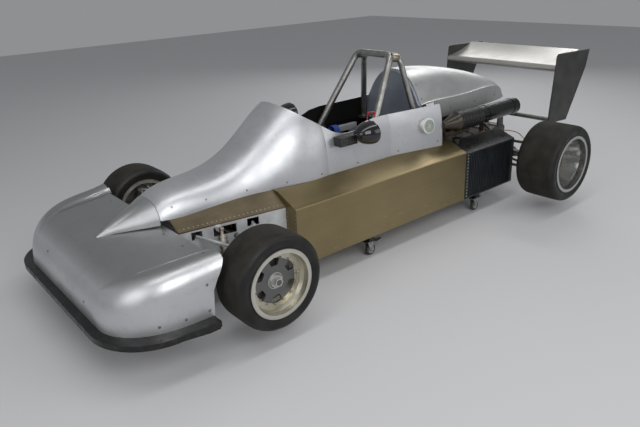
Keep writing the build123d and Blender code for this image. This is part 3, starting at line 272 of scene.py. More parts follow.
def settle():
    """Put the active piece's place, turn and scale in its mesh, and return the piece"""
    bpy.ops.object.transform_apply(location=True, rotation=True, scale=True)
    return bpy.context.object


def edit_mesh():
    """Open the active piece's mesh for editing"""
    bpy.ops.object.mode_set(mode="EDIT")


def leave_mesh():
    """Close the active piece's mesh again"""
    bpy.ops.object.mode_set(mode="OBJECT")


def extrude(run):
    """Draw what is selected in the open mesh out along run"""
    bpy.ops.mesh.extrude_region_move(TRANSFORM_OT_translate={"value": run})


def applied(piece, kind, **settings):
    """Give the active piece a modifier with these settings and apply it"""
    modifier = piece.modifiers.new(kind, kind)
    for setting, value in settings.items():
        setattr(modifier, setting, value)
    bpy.ops.object.modifier_apply(modifier=modifier.name)


def joined(pieces):
    """Join all these pieces into the first one"""
    pick(pieces[0])
    for piece in pieces:
        piece.select_set(True)
    bpy.ops.object.join()
    return pieces[0]


def finish_piece(piece, name, material, body="chassis", angle=35):
    """Name the piece, put its place in its mesh, smooth it, dress it and fix it to its body"""
    piece.name = name
    piece.data.name = name
    pick(piece)
    settle()
    bpy.ops.object.shade_smooth_by_angle(angle=math.radians(angle))
    piece.data.materials.clear()
    piece.data.materials.append(material)
    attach(piece, body)
    return piece


def domed_head(radius, height, sides):
    """One fastener head round the origin, facing up: a short drum with a crowned top"""
    crown_rise = 0.45 * height
    crown_share = 0.62
    start_piece()
    bpy.ops.mesh.primitive_cylinder_add(
        vertices=sides, radius=radius, depth=height, location=(0, 0, 0),
    )
    head = bpy.context.object
    edit_mesh()
    bpy.ops.mesh.select_mode(type="FACE")
    bpy.ops.mesh.select_all(action="DESELECT")
    leave_mesh()
    top = max(head.data.polygons, key=lambda face: face.center.z)
    top.select = True
    edit_mesh()
    extrude((0, 0, crown_rise))
    bpy.ops.transform.resize(value=(crown_share, crown_share, 1))
    leave_mesh()
    return head


def set_heads(name, rows, material, radius, height, body="chassis", sides=8):
    """Copy one head to every (place, direction) and join them into one piece"""
    head = domed_head(radius, height, sides)
    copies = []
    for place, direction in rows:
        one = bpy.data.objects.new(name, head.data.copy())
        turn = Vector(direction).to_track_quat("Z", "Y").to_matrix().to_4x4()
        one.matrix_world = Matrix.Translation(place) @ turn
        bpy.context.scene.collection.objects.link(one)
        copies.append(one)
    bpy.data.objects.remove(head)
    return finish_piece(joined(copies), name, material, body)


both_sides = ((1, "left"), (-1, "right"))
nut_out = 0.0201
for end in ("front", "rear"):
    for _, side_name in both_sides:
        fork_name = f"castor_fork_{end}_{side_name}"
        pin = box_middle(f"castor_wheel_{end}_{side_name}")
        nuts = [((pin.x, pin.y + way * nut_out, pin.z), (0, way, 0)) for way in (1, -1)]
        set_heads(
            f"castor_nuts_{end}_{side_name}", nuts, zinc_plate,
            radius=0.008, height=0.005, body=fork_name, sides=6,
        )

fork_low, fork_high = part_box("castor_fork_front_left")
lever_root = (0.243, (fork_low.y + fork_high.y) / 2, 0.089)
lever_runs = (
    # next run of the strip, how much wider it ends
    ((-0.026, 0, -0.009), 1.0), ((-0.030, 0, 0.006), 1.25), ((-0.010, 0, 0.003), 0.8),
)
start_piece()
bpy.ops.mesh.primitive_cube_add(size=1, location=lever_root, scale=(0.018, 0.026, 0.0025))
lever = settle()
for run, widening in lever_runs:
    rearmost = min(face.center.x for face in lever.data.polygons)
    for face in lever.data.polygons:
        face.select = abs(face.center.x - rearmost) < 0.0005 and face.normal.x < -0.6
    edit_mesh()
    bpy.ops.mesh.select_mode(type="FACE")
    extrude(run)
    bpy.ops.transform.resize(value=(1, widening, 1))
    leave_mesh()
applied(lever, "BEVEL", width=0.0008, segments=2)
finish_piece(
    lever, "castor_brake_lever", zinc_plate, "castor_fork_front_left", angle=40,
)


# Tub: side boxes folded from bronze anodised sheet, riveted to inner bulkheads. The grain runs
# along the car, the side is scuffed low down, and the raised cockpit walls inside are black.
def split(tree, vector):
    """Sockets of a vector's X, Y and Z"""
    node = tree.nodes.new("ShaderNodeSeparateXYZ")
    tree.links.new(vector, node.inputs["Vector"])
    return node.outputs


def calculated(tree, operation, first, second=None):
    """Result of a sum on one socket, or on a socket with a second socket or number"""
    node = tree.nodes.new("ShaderNodeMath")
    node.operation = operation
    tree.links.new(first, node.inputs[0])
    if isinstance(second, float):
        node.inputs[1].default_value = second
    elif second is not None:
        tree.links.new(second, node.inputs[1])
    return node.outputs[0]


def all_true(tree, tests):
    """One where each socket passes its test against a limit, zero elsewhere"""
    product = None
    for source, operation, limit in tests:
        passed = calculated(tree, operation, source, limit)
        product = passed if product is None else calculated(tree, "MULTIPLY", product, passed)
    return product


tub_low, tub_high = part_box("tub")
raised_wall_z = 0.577
well_half = 0.2365
well_rear_x = -0.3005
floor_thickness = 0.0195
wall_black = (0.014, 0.014, 0.015)
sheet_grain = (0.04, 1, 1)
bronze_sheet, tree, shader = new_finish("bronze_sheet", (0.30, 0.24, 0.13), 0.88, 0.34)
tint = ramp(
    tree, object_noise(tree, 2.2, 7.0, (0.6, 1, 1)),
    ((0.3, (0.205, 0.162, 0.083)), (0.7, (0.310, 0.248, 0.134))),
)
axes = split(tree, object_point(tree))
scratch = grey_ramp(tree, object_noise(tree, 55.0, 3.0, (0.25, 1, 2.2)), 0.0, 1.0, 0.66, 0.70)
low_down = grey_ramp(tree, axes["Z"], 1.0, 0.0, 0.19, 0.30)
scuffs = calculated(tree, "MULTIPLY", scratch, low_down)
scuffed = blended(tree, scuffs, tint, (0.62, 0.56, 0.44))
above = grey_ramp(tree, axes["Z"], 0.0, 1.0, raised_wall_z - 0.0005, raised_wall_z + 0.0005)
well = all_true(tree, (
    (calculated(tree, "ABSOLUTE", axes["Y"]), "LESS_THAN", well_half),
    (axes["X"], "GREATER_THAN", well_rear_x),
    (axes["Z"], "GREATER_THAN", tub_low.z + floor_thickness),
))
walled = blended(tree, above, scuffed, wall_black)
tree.links.new(blended(tree, well, walled, wall_black), shader.inputs["Base Color"])
wear(
    tree, shader, gloss=(60.0, 6.0, 0.30, 0.46), relief=(60.0, 6.0, 0.05, 0.001),
    grain=sheet_grain,
)
dress(("tub",), bronze_sheet)

# The front deck's bronze is a darker, rougher copy of the tub's sheet: painted shade, so that it
# shows a dimmer reflection of the lamps
shaded_deck_bronze = worn_finish(
    "shaded_deck_bronze", ((0.17, 0.135, 0.085), 0.8, 0.5),
    tint=(6.0, 8.0, (0.3, (0.125, 0.100, 0.063)), (0.7, (0.205, 0.167, 0.110))),
    gloss=(60.0, 6.0, 0.42, 0.60), grain=sheet_grain,
)
dress(("front_deck",), shaded_deck_bronze)
bronze_head = worn_finish(
    "bronze_head", ((0.44, 0.38, 0.25), 0.8, 0.45),
    tint=(300.0, 2.0, (0.35, (0.34, 0.29, 0.19)), (0.7, (0.60, 0.54, 0.41))),
)

frame_low, frame_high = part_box("front_frame")
frame_front_half = 0.250
edge_inset = 0.012
seam_inset = 0.016
rivet_pitch = 0.024
rivets_up = 13
lowest_rivet = 0.025
rivets_along = 24
deck_rear_z = 0.503
deck_fall = 0.015
deck_lift = 0.0091


def frame_half(share):
    """Half width of the front frame at a share of the way to its front"""
    return frame_high.y + share * (frame_front_half - frame_high.y)


rivet_rows = []
for hand in (1, -1):
    for column in (frame_high.y + edge_inset, tub_high.y - edge_inset):
        for step in range(rivets_up):
            height = tub_low.z + lowest_rivet + step * rivet_pitch
            rivet_rows.append(((tub_high.x, hand * column, height), (1, 0, 0)))
    for step in range(rivets_along):
        share = (step + 0.5) / rivets_along
        x = tub_high.x + share * (frame_high.x - tub_high.x)
        y = frame_half(share) - seam_inset
        z = deck_rear_z - share * deck_fall + deck_lift
        rivet_rows.append(((x, hand * y, z), (0, hand * 0.495, 0.869)))
set_heads("tub_rivets", rivet_rows, bronze_head, radius=0.0034, height=0.0012)


# Front frame: a box of bare mill finish aluminium, mottled with age, that holds the pedals. It is
# closed with rows of pop rivets, which stop where the arms and the damper go through its sides.
bare_sheet = worn_finish(
    "bare_sheet", ((0.62, 0.63, 0.64), 0.6, 0.42),
    tint=(9.0, 9.0, (0.35, (0.50, 0.51, 0.52)), (0.65, (0.74, 0.75, 0.76))),
    gloss=(16.0, 8.0, 0.32, 0.58), relief=(40.0, 5.0, 0.06, 0.002),
)
dress(("front_frame",), bare_sheet)
rivets_in_row = 20
opening_x = 1.405
opening_half = 0.045
opening_z = 0.2
frame_rivets = []
for hand in (1, -1):
    for height in (0.170, 0.300, 0.410):
        for step in range(rivets_in_row):
            share = (step + 0.5) / rivets_in_row
            x = frame_low.x + share * (frame_high.x - frame_low.x)
            if height < opening_z or abs(x - opening_x) >= opening_half:
                place = (x, hand * frame_half(share), height)
                frame_rivets.append((place, (0.205, hand, 0)))
set_heads("frame_rivets", frame_rivets, bare_sheet, radius=0.0032, height=0.0012)


# Nose and driver's fairing: glass fibre, sprayed fine silver and rubbed dull by years of cleaning.
# Inside, the moulding is unpainted and dark. The nose's lower edge is bound in black rubber.
def face_way(tree):
    """The way that a face looks, in the car's own frame"""
    return tree.nodes.new("ShaderNodeTexCoord").outputs["Normal"]


def inner_side(tree, middle_z):
    """One on faces that look in towards the middle line and not up, zero outside"""
    facing = tree.nodes.new("ShaderNodeVectorMath")
    facing.operation = "DOT_PRODUCT"
    tree.links.new(face_way(tree), facing.inputs[0])
    tree.links.new(object_point(tree, (0, 1, 1), (0, 0, -middle_z)), facing.inputs[1])
    upwards = split(tree, face_way(tree))["Z"]
    slack = 0.03
    tests = ((facing.outputs["Value"], "LESS_THAN", -slack), (upwards, "LESS_THAN", slack))
    return all_true(tree, tests)


def silver_paint(name, middle_z, low, high, top_shade=0.0):
    """Silver lacquer outside, with painted shade darkening its upper faces, and raw dark moulding
    inside
    """
    material, tree, shader = new_finish(name, high, 0.8, 0.36)
    tint = ramp(tree, object_noise(tree, 3.1, 6.0), ((0.3, low), (0.7, high)))
    dust = grey_ramp(tree, object_noise(tree, 30.0, 9.0), 0.0, 0.25, 0.55, 0.8)
    dusty = blended(tree, dust, tint, (0.30, 0.30, 0.29))
    if top_shade:
        # Painted shade: faces that look up are blended towards dark grey, more the further up they
        # face
        top_shaded = grey_ramp(tree, split(tree, face_way(tree))["Z"], 0.0, top_shade, 0.72, 0.95)
        dusty = blended(tree, top_shaded, dusty, (0.13, 0.127, 0.12))
    inside = inner_side(tree, middle_z)
    moulding = blended(tree, inside, dusty, (0.018, 0.018, 0.017))
    tree.links.new(moulding, shader.inputs["Base Color"])
    gloss = grey_ramp(tree, object_noise(tree, 9.0, 8.0), 0.32, 0.44)
    tree.links.new(blended(tree, inside, gloss, 0.7), shader.inputs["Roughness"])
    wear(tree, shader, relief=(420.0, 2.0, 0.035, 0.001))
    return material


silver_body = silver_paint("silver_body", 0.60, (0.51, 0.52, 0.54), (0.60, 0.61, 0.63))
# The nose's upper faces take painted shade, a darker grey in place of the dim reflection on its top
silver_nose = silver_paint("silver_nose", 0.30, (0.55, 0.555, 0.57), (0.63, 0.635, 0.65), 0.55)
dress(("cockpit_body",), silver_body)
dress(("nose_shell",), silver_nose)
lip_rubber = worn_finish(
    "lip_rubber", (0.010, 0.0, 0.3), (("Specular IOR Level", 0.4),),
    tint=(34.0, 9.0, (0.52, 0.007), (0.82, (0.030, 0.029, 0.027))), gloss=(20.0, 7.0, 0.22, 0.48),
)
dress(("nose_lip",), lip_rubber)


# Nose fasteners: countersunk quarter turn studs of zinc plated steel hold the shell on its frames.
# Their heads are low and crowned, and dark where they are worn.
def on_surface(node_name, start, direction):
    """Place and outward direction where a line from start first meets a CAD node"""
    hit, place, normal, _ = nodes[node_name].ray_cast(Vector(start), Vector(direction).normalized())
    if not hit:
        raise ValueError(f"no surface of {node_name} on the line from {start}")
    return place, normal


def on_top(node_name, x, y):
    """Place and direction on a CAD node, met from above the car"""
    above_car = 1.2
    return on_surface(node_name, (x, y, above_car), (0, 0, -1))


def on_flank(node_name, hand, x, z):
    """Place and direction on a CAD node, met from beside the car"""
    beside_car = 0.9
    return on_surface(node_name, (x, hand * beside_car, z), (0, -hand, 0))


stud_steel = worn_finish(
    "stud_steel", ((0.30, 0.30, 0.29), 0.9, 0.42),
    tint=(240.0, 3.0, (0.35, (0.13, 0.125, 0.12)), (0.7, (0.42, 0.42, 0.41))),
)
top_rows = (0.24, 0.44, 0.645)
flank_rows = ((1.62, 0.42), (1.62, 0.285), (1.74, 0.285), (1.86, 0.285))
face_rows = ((-0.233, 0.40), (0.323, 0.335))
nose_studs = [on_top("nose_shell", 1.575, hand * y) for hand in (1, -1) for y in top_rows]
nose_studs += [on_flank("nose_shell", hand, x, z) for hand in (1, -1) for x, z in flank_rows]
nose_studs += [on_surface("nose_shell", (2.6, y, z), (-1, 0, 0)) for y, z in face_rows]
set_heads(
    "nose_studs", nose_studs, stud_steel, radius=0.0075, height=0.0016, sides=12,
)


# Nose collar: the moulded lip that leads the nose up to the driver's fairing, laid up in the same
# glass fibre and sprayed with it. A fine dark joint stays open where the two shells meet.
def reach_out(node_name, x, turn, foot_z):
    """Distance from the middle line out to a shell, turned from upright; nothing where it misses"""
    out = Vector((0, math.sin(turn), math.cos(turn)))
    middle = Vector((x, 0, foot_z))
    hit, place, _, _ = nodes[node_name].ray_cast(middle + out * 0.5, -out)
    return max((place - middle).dot(out), 0) if hit else 0


def deck_height(x):
    """Height of the nose's flat upper face, a little proud"""
    return on_top("nose_shell", x, 0.34)[0].z + 0.0015


def turn_outwards():
    """Recalculate the active mesh, so that its faces point outwards"""
    edit_mesh()
    bpy.ops.mesh.select_all(action="SELECT")
    bpy.ops.mesh.normals_make_consistent(inside=False)
    leave_mesh()


def laid_sheet(columns, rows, place_at, thickness):
    """Sheet whose points go where place_at says from their shares along and across it"""
    start_piece()
    bpy.ops.mesh.primitive_grid_add(x_subdivisions=columns - 1, y_subdivisions=rows - 1, size=2)
    sheet = bpy.context.object
    for vertex in sheet.data.vertices:
        vertex.co = place_at((vertex.co.x + 1) / 2, (vertex.co.y + 1) / 2)
    applied(sheet, "SOLIDIFY", thickness=thickness, offset=0)
    turn_outwards()
    return sheet


joint_x = 1.5455
joint_probe_x = joint_x + 0.01
fairing_edge_x = 1.538
collar_end_x = 1.80
collar_columns = 15
collar_rows = 49
collar_lift = 0.0010
widest_turn = math.radians(87)
joint_z = deck_height(joint_probe_x)
end_z = deck_height(collar_end_x)
turns = [widest_turn * (2 * row / (collar_rows - 1) - 1) for row in range(collar_rows)]
edge_out = [reach_out("cockpit_body", fairing_edge_x, turn, joint_z) for turn in turns]
end_out = [reach_out("nose_shell", collar_end_x, turn, end_z) for turn in turns]
met = [row for row in range(collar_rows) if edge_out[row]]
for row in range(collar_rows):
    if not edge_out[row]:
        near_row = met[0] if row < met[0] else met[-1]
        met_y = edge_out[near_row] * math.sin(turns[near_row])
        edge_out[row] = abs(met_y / math.sin(turns[row]))


def collar_place(share, across):
    """Point of the collar, on the lead from the fairing's edge or just over the nose"""
    row = round(across * (collar_rows - 1))
    x = joint_x + share * (collar_end_x - joint_x)
    foot_z = deck_height(max(x, joint_probe_x))
    skin = reach_out("nose_shell", x, turns[row], foot_z) + collar_lift
    lead = edge_out[row] * (1 - share) + end_out[row] * share
    out = max(skin, lead)
    return x, out * math.sin(turns[row]), foot_z + out * math.cos(turns[row])


collar = laid_sheet(collar_columns, collar_rows, collar_place, thickness=0.0016)
finish_piece(collar, "nose_collar", silver_nose, angle=60)


# Nose fillets: a soft moulded hollow runs along the foot of each raised shoulder, where it meets
# the nose's flat top. It is part of the same glass fibre moulding, filled and sprayed silver.
fillet_stations = 25
fillet_rows = 9
fillet_rear_x = 1.512
fillet_end_x = 1.860
nose_rear_x = 1.55
crease_x = 1.525
crease_y = 0.600
crease_slope = 0.222
flat_reach = 0.024
flank_reach = 0.012
fillet_lift = 0.0006
hollow_lift = 0.0020


def fillet_place(hand, share, across):
    """Point of the hollow, on a curve from the flat top up to the shoulder's flank"""
    x = fillet_rear_x + share * (fillet_end_x - fillet_rear_x)
    y = crease_y - (x - crease_x) * crease_slope
    probe_x = max(x, nose_rear_x)
    flat_z = on_top("nose_shell", probe_x, hand * (y - flat_reach))[0].z
    flank_z = on_top("nose_shell", probe_x, hand * (y + flank_reach))[0].z
    line = (
        (y - flat_reach * (1 - share ** 3), flat_z + fillet_lift),
        (y, flat_z + hollow_lift), (y + flank_reach, flank_z + fillet_lift),
    )
    weights = ((1 - across) ** 2, 2 * across * (1 - across), across ** 2)
    out, z = (sum(w * p[axis] for w, p in zip(weights, line)) for axis in (0, 1))
    return x, hand * out, z


for hand, side_name in both_sides:
    fillet = laid_sheet(
        fillet_stations, fillet_rows, lambda *shares: fillet_place(hand, *shares),
        thickness=0.0012,
    )
    finish_piece(fillet, f"nose_fillet_{side_name}", silver_nose, angle=60)


# Driver's fairing: a row of fasteners runs along each lower flange, where it lifts off the tub.
# They are the same zinc plated studs as on the nose, a hand's breadth or two apart.
flange_z = 0.598
stud_xs = (-0.46, -0.10, 0.26, 0.56, 0.80, 1.04, 1.28, 1.47)
body_studs = [on_flank("cockpit_body", hand, x, flange_z) for hand in (1, -1) for x in stud_xs]
set_heads(
    "body_studs", body_studs, stud_steel, radius=0.0065, height=0.0014, sides=12,
)


# Mirrors: black gloss bowls moulded in glass fibre, on feet of ribbed black rubber. A round glass
# sits a little inside each rim, silvered at the back.
black_gloss = worn_finish(
    "black_gloss", ((0.008, 0.008, 0.009), 0.0, 0.12), (("Coat Weight", 0.4),),
    tint=(60.0, 7.0, (0.55, (0.007, 0.007, 0.008)), (0.9, 0.022)), gloss=(30.0, 6.0, 0.10, 0.18),
)
ribbed_rubber = worn_finish(
    "ribbed_rubber", (0.03, 0.0, 0.6),
    tint=(90.0, 6.0, (0.4, (0.022, 0.022, 0.021)), (0.8, (0.075, 0.073, 0.068))),
)
mirror_y = 0.398
mirror_z = 0.808
bowl_face_x = 0.236
bowl_radii = (0.126, 0.082, 0.073)
rim_width = 0.0045
glass_depth = 0.006
foot_x = 0.371
foot_z = 0.7455
foot_end_y = 0.351
plate_rise = 0.0068
plate_length = 0.140
plate_count = 8
groove_depth = 0.003
for hand, side_name in both_sides:
    start_piece()
    bpy.ops.mesh.primitive_uv_sphere_add(
        segments=64, ring_count=32, radius=1, location=(0, 0, 0),
        rotation=(0, math.radians(90), 0),
    )
    bowl = settle()
    bowl.scale = bowl_radii
    bowl.location = (bowl_face_x - 0.002, hand * mirror_y, mirror_z)
    settle()
    edit_mesh()
    bpy.ops.mesh.select_mode(type="FACE")
    bpy.ops.mesh.select_all(action="SELECT")
    bpy.ops.mesh.bisect(
        plane_co=(bowl_face_x, 0, 0), plane_no=(1, 0, 0), clear_inner=True, use_fill=True,
    )
    bpy.ops.mesh.select_all(action="DESELECT")
    leave_mesh()
    for face in bowl.data.polygons:
        face.select = face.normal.x < -0.95 and face.center.x < bowl_face_x + 0.0005
    edit_mesh()
    bpy.ops.mesh.inset(thickness=rim_width)
    extrude((glass_depth, 0, 0))
    leave_mesh()
    applied(bowl, "BEVEL", width=0.0012, segments=2)
    finish_piece(bowl, f"mirror_bowl_{side_name}", black_gloss, angle=40)

    skin_place, _ = on_flank("cockpit_body", hand, foot_x, 0.792)
    inner_y = abs(skin_place.y) - 0.0005
    plates = []
    for step in range(plate_count):
        groove = groove_depth * (step % 2)
        outer_y = foot_end_y - groove
        start_piece()
        bpy.ops.mesh.primitive_cube_add(
            size=1, location=(foot_x, hand * (inner_y + outer_y) / 2, foot_z + step * plate_rise),
            scale=(plate_length - 2 * groove, outer_y - inner_y, plate_rise),
        )
        plates.append(settle())
        applied(plates[-1], "BEVEL", width=0.0014, segments=2)
    foot = joined(plates)
    finish_piece(foot, f"mirror_foot_{side_name}", ribbed_rubber, angle=30)
    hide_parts("mirrors")
    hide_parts("mirrors")


def bevel_all(offset, segments):
    """Round every edge of the active mesh"""
    edit_mesh()
    bpy.ops.mesh.select_all(action="SELECT")
    bpy.ops.mesh.bevel(offset=offset, segments=segments)
    leave_mesh()


mirror_glass = worn_finish(
    "mirror_glass", ((0.80, 0.83, 0.85), 1.0, 0.03), gloss=(22.0, 8.0, 0.02, 0.10, 0.5, 0.8),
)
for hand, side_name in both_sides:
    start_piece()
    bpy.ops.mesh.primitive_cylinder_add(
        vertices=64, radius=1, depth=1, location=(0.2408, hand * mirror_y, mirror_z),
        rotation=(0, math.radians(-90), 0), scale=(0.0675, 0.0765, 0.0024),
    )
    bpy.ops.object.transform_apply(location=False, rotation=False, scale=True)
    bevel_all(0.0008, 2)
    glass = bpy.context.object
    finish_piece(glass, f"mirror_glass_{side_name}", mirror_glass, angle=30)


# Fuel filler: a flush aluminium cap on the left shoulder. Its ring is polished bright and its
# recessed face is anodised grey green, with a folding handle in the middle.
cap_alloy, tree, shader = new_finish("cap_alloy", 0.6, 0.45, 0.35)
cap_zones = (
    (0.0, (0.50, 0.52, 0.48)), (0.013, (0.36, 0.41, 0.36)), (0.0415, (0.80, 0.80, 0.78)),
)
cap_reach = reach_from(tree, (-0.352, 0.310, 0.724))
tree.links.new(ramp(tree, cap_reach, cap_zones, even=False), shader.inputs["Base Color"])
wear(tree, shader, gloss=(40.0, 4.0, 0.30, 0.42))
dress(("filler_cap",), cap_alloy)


# Seat: a bent sheet shell sprayed grey, with a quilted pad in grey leather cloth laid against its
# back and a plain pad on each cockpit wall. The pads are foam, the back one sewn in channels.
seat_grey = worn_finish(
    "seat_grey", ((0.20, 0.21, 0.20), 0.1, 0.5),
    tint=(12.0, 8.0, (0.35, (0.15, 0.158, 0.15)), (0.75, (0.24, 0.25, 0.24))),
)
dress(("seat",), seat_grey)
pad_cloth = worn_finish(
    "pad_cloth", ((0.24, 0.25, 0.26), 0.0, 0.75), (("Sheen Weight", 0.3),),
    tint=(14.0, 6.0, (0.3, (0.19, 0.20, 0.21)), (0.7, (0.29, 0.30, 0.31))),
    relief=(900.0, 2.0, 0.35, 0.0006),
)


def subdivided(piece, levels):
    """Round off the active piece with a subdivision surface"""
    applied(piece, "SUBSURF", levels=levels, render_levels=levels)


def foam_pad(width, length, thick):
    """Block of foam at the origin, swelled under its cover by a cloth run, within a small rise"""
    swell_cap = 0.006
    cloth_moments = 12
    start_piece()
    bpy.ops.mesh.primitive_cube_add(size=1, location=(0, 0, 0), scale=(width, length, thick))
    block = settle()
    bevel_all(0.008, 3)
    applied(block, "REMESH", mode="VOXEL", voxel_size=0.006)
    rest_places = [vertex.co.copy() for vertex in block.data.vertices]
    cloth = block.modifiers.new("foam", "CLOTH")
    cloth.settings.use_pressure = True
    cloth.settings.uniform_pressure_force = 4
    cloth.settings.effector_weights.gravity = 0
    for moment in range(1, cloth_moments + 1):
        bpy.context.scene.frame_set(moment)
    bpy.ops.object.modifier_apply(modifier=cloth.name)
    bpy.context.scene.frame_set(1)
    for vertex, rest_place in zip(block.data.vertices, rest_places):
        step = vertex.co - rest_place
        if step.length > swell_cap:
            vertex.co = rest_place + step * (swell_cap / step.length)
    return block


back_foot = Vector((0.004, 0, 0.214))
back_run = Vector((-0.512, 0, 0.859))
back_out = Vector((0.859, 0, 0.512))
pad_length = 0.44
pad_half_width = 0.150
pad_thick = 0.026
shell_thick = 0.0125
channel_pitch = 0.055
seam_width = 0.005
seam_depth = 0.006
crown_fall = 0.35
pad = foam_pad(2 * pad_half_width, pad_length, pad_thick)
pad_turn = Matrix((
    (0, back_run.x, back_out.x, 0), (1, 0, 0, 0), (0, back_run.z, back_out.z, 0), (0, 0, 0, 1),
))
pad_middle = (
    back_foot + back_run * (pad_length / 2 + 0.004) + back_out * (pad_thick / 2 + shell_thick)
)
for vertex in pad.data.vertices:
    across = vertex.co.y % channel_pitch - channel_pitch / 2
    seam = math.exp(-((abs(across) - channel_pitch / 2) / seam_width) ** 2)
    crown = 1 - crown_fall * (vertex.co.x / pad_half_width) ** 2
    if vertex.co.z > 0:
        vertex.co.z = vertex.co.z * crown - seam_depth * seam
    else:
        vertex.co.z = max(vertex.co.z, -pad_thick / 2)
    vertex.co = (pad_turn @ vertex.co.to_4d()).to_3d() + pad_middle
subdivided(pad, 1)
finish_piece(pad, "seat_pad", pad_cloth, angle=60)

wall_pad_length = 0.22
wall_pad_thick = 0.022
wall_pad_height = 0.058
wall_pad_x = -0.115
wall_pad_y = 0.2225
wall_pad_z = 0.668
for hand, side_name in both_sides:
    wall_pad = foam_pad(wall_pad_thick, wall_pad_length, wall_pad_height)
    for vertex in wall_pad.data.vertices:
        end = abs(vertex.co.y) / (wall_pad_length / 2)
        inward = min(max(vertex.co.x, -wall_pad_thick / 2), 0.014) * (1 - 0.45 * end ** 3)
        rise = vertex.co.z * (1 - 0.22 * end ** 2)
        vertex.co = (wall_pad_x + vertex.co.y, hand * (wall_pad_y - inward), wall_pad_z + rise)
    turn_outwards()
    subdivided(wall_pad, 1)
    finish_piece(wall_pad, f"wall_pad_{side_name}", pad_cloth, angle=60)


# Harness: blue polyester webbing, about two inches wide. The shoulder straps come over the back of
# the seat and meet the lap straps in a round quick release, and a loose one hangs on the right.
webbing = worn_finish(
    "webbing", ((0.02, 0.055, 0.26), 0.0, 0.7),
    tint=(500.0, 2.0, (0.35, (0.012, 0.035, 0.19)), (0.7, (0.035, 0.085, 0.36))),
    relief=(700.0, 1.0, 0.3, 0.0006), grain=(1, 0.25, 1),
)
strap_width = 0.045
strap_thick = 0.0022


def strap(name, places, across):
    """Webbing bent through the given places, its width along across, made by extruding one edge"""
    start_piece()
    bpy.ops.mesh.primitive_plane_add(size=1, location=(0, 0, 0))
    piece = bpy.context.object
    half = Vector(across).normalized() * strap_width / 2
    start, following = Vector(places[0]), Vector(places[1])
    corners = (start - half, start + half, following - half, following + half)
    for vertex, corner in zip(piece.data.vertices, corners):
        vertex.co = corner
        vertex.select = vertex.index in (2, 3)
    for edge in piece.data.edges:
        edge.select = set(edge.vertices) == {2, 3}
    for face in piece.data.polygons:
        face.select = False
    edit_mesh()
    bpy.ops.mesh.select_mode(type="EDGE")
    for before, after in zip(places[1:], places[2:]):
        run = Vector(after) - Vector(before)
        extrude(run)
    leave_mesh()
    subdivided(piece, 2)
    applied(piece, "SOLIDIFY", thickness=strap_thick, offset=0)
    return finish_piece(piece, name, webbing, angle=50)


def on_back(run, lift, aside=0.0):
    """A place run up the seat's back, lift off the shell and aside from the middle"""
    return back_foot + back_run * run + back_out * lift + Vector((0, aside, 0))


for hand, side_name in both_sides:
    shoulder = [
        (-0.286, hand * 0.075, 0.600), (-0.262, hand * 0.075, 0.655), (-0.226, hand * 0.074, 0.668),
        on_back(0.46, 0.060, hand * 0.072), on_back(0.30, 0.060, hand * 0.058),
        on_back(0.14, 0.060, hand * 0.030),
    ]
    strap(f"shoulder_strap_{side_name}", shoulder, (0, 1, 0))
    lap = [
        on_back(0.02, 0.070, hand * 0.176), on_back(0.05, 0.074, hand * 0.120),
        on_back(0.085, 0.074, hand * 0.070), on_back(0.10, 0.070, hand * 0.032),
    ]
    strap(f"lap_strap_{side_name}", lap, back_run)
loose_run = [
    (0.020, -0.2335, 0.640), (0.020, -0.2330, 0.698), (0.018, -0.212, 0.7125),
    (0.012, -0.180, 0.7060), (0.004, -0.164, 0.660), (-0.006, -0.160, 0.560),
    (-0.030, -0.156, 0.420), (-0.060, -0.150, 0.372),
]
strap("loose_strap_right", loose_run, (1, 0, 0))

start_piece()
bpy.ops.mesh.primitive_cylinder_add(
    vertices=40, radius=0.029, depth=0.016, location=on_back(0.10, 0.072),
    rotation=back_out.to_track_quat("Z", "Y").to_euler(),
)
buckle = settle()
for face in buckle.data.polygons:
    face.select = face.normal.dot(back_out) > 0.9
edit_mesh()
bpy.ops.mesh.select_mode(type="FACE")
for inset, rise in ((0.006, 0.004), (0.010, -0.002)):
    bpy.ops.mesh.inset(thickness=inset)
    extrude(back_out * rise)
leave_mesh()
applied(buckle, "BEVEL", width=0.0012, segments=2)
finish_piece(buckle, "harness_buckle", zinc_plate)


# Dash: a black crackle painted panel that carries five round instruments. Each has a chromed
# bezel round its matt black face, with white strokes and a white pointer.
shell_black = worn_finish(
    "shell_black", ((0.02, 0.02, 0.021), 0.0, 0.5),
    tint=(20.0, 8.0, (0.4, (0.016, 0.016, 0.017)), (0.8, (0.05, 0.048, 0.045))),
    relief=(300.0, 3.0, 0.1, 0.001),
)
dress(("dash",), shell_black)
bezel_chrome = worn_finish(
    "bezel_chrome", ((0.65, 0.65, 0.66), 1.0, 0.12), gloss=(90.0, 4.0, 0.08, 0.22),
)
dial_white = worn_finish(
    "dial_white", ((0.75, 0.74, 0.70), 0.0, 0.6),
    tint=(300.0, 3.0, (0.4, (0.62, 0.61, 0.57)), (0.7, (0.80, 0.79, 0.75))),
)
dial_rows = (
    # name, y, z, radius
    ("tachometer", 0.0, 0.786, 0.038), ("gauge_left", 0.092, 0.770, 0.026),
    ("gauge_right", -0.092, 0.770, 0.026), ("gauge_outer_left", 0.160, 0.750, 0.020),
    ("gauge_outer_right", -0.160, 0.750, 0.020),
)
stroke_count = 11
first_stroke = -225
stroke_turn = 27
pointer_turn = 132
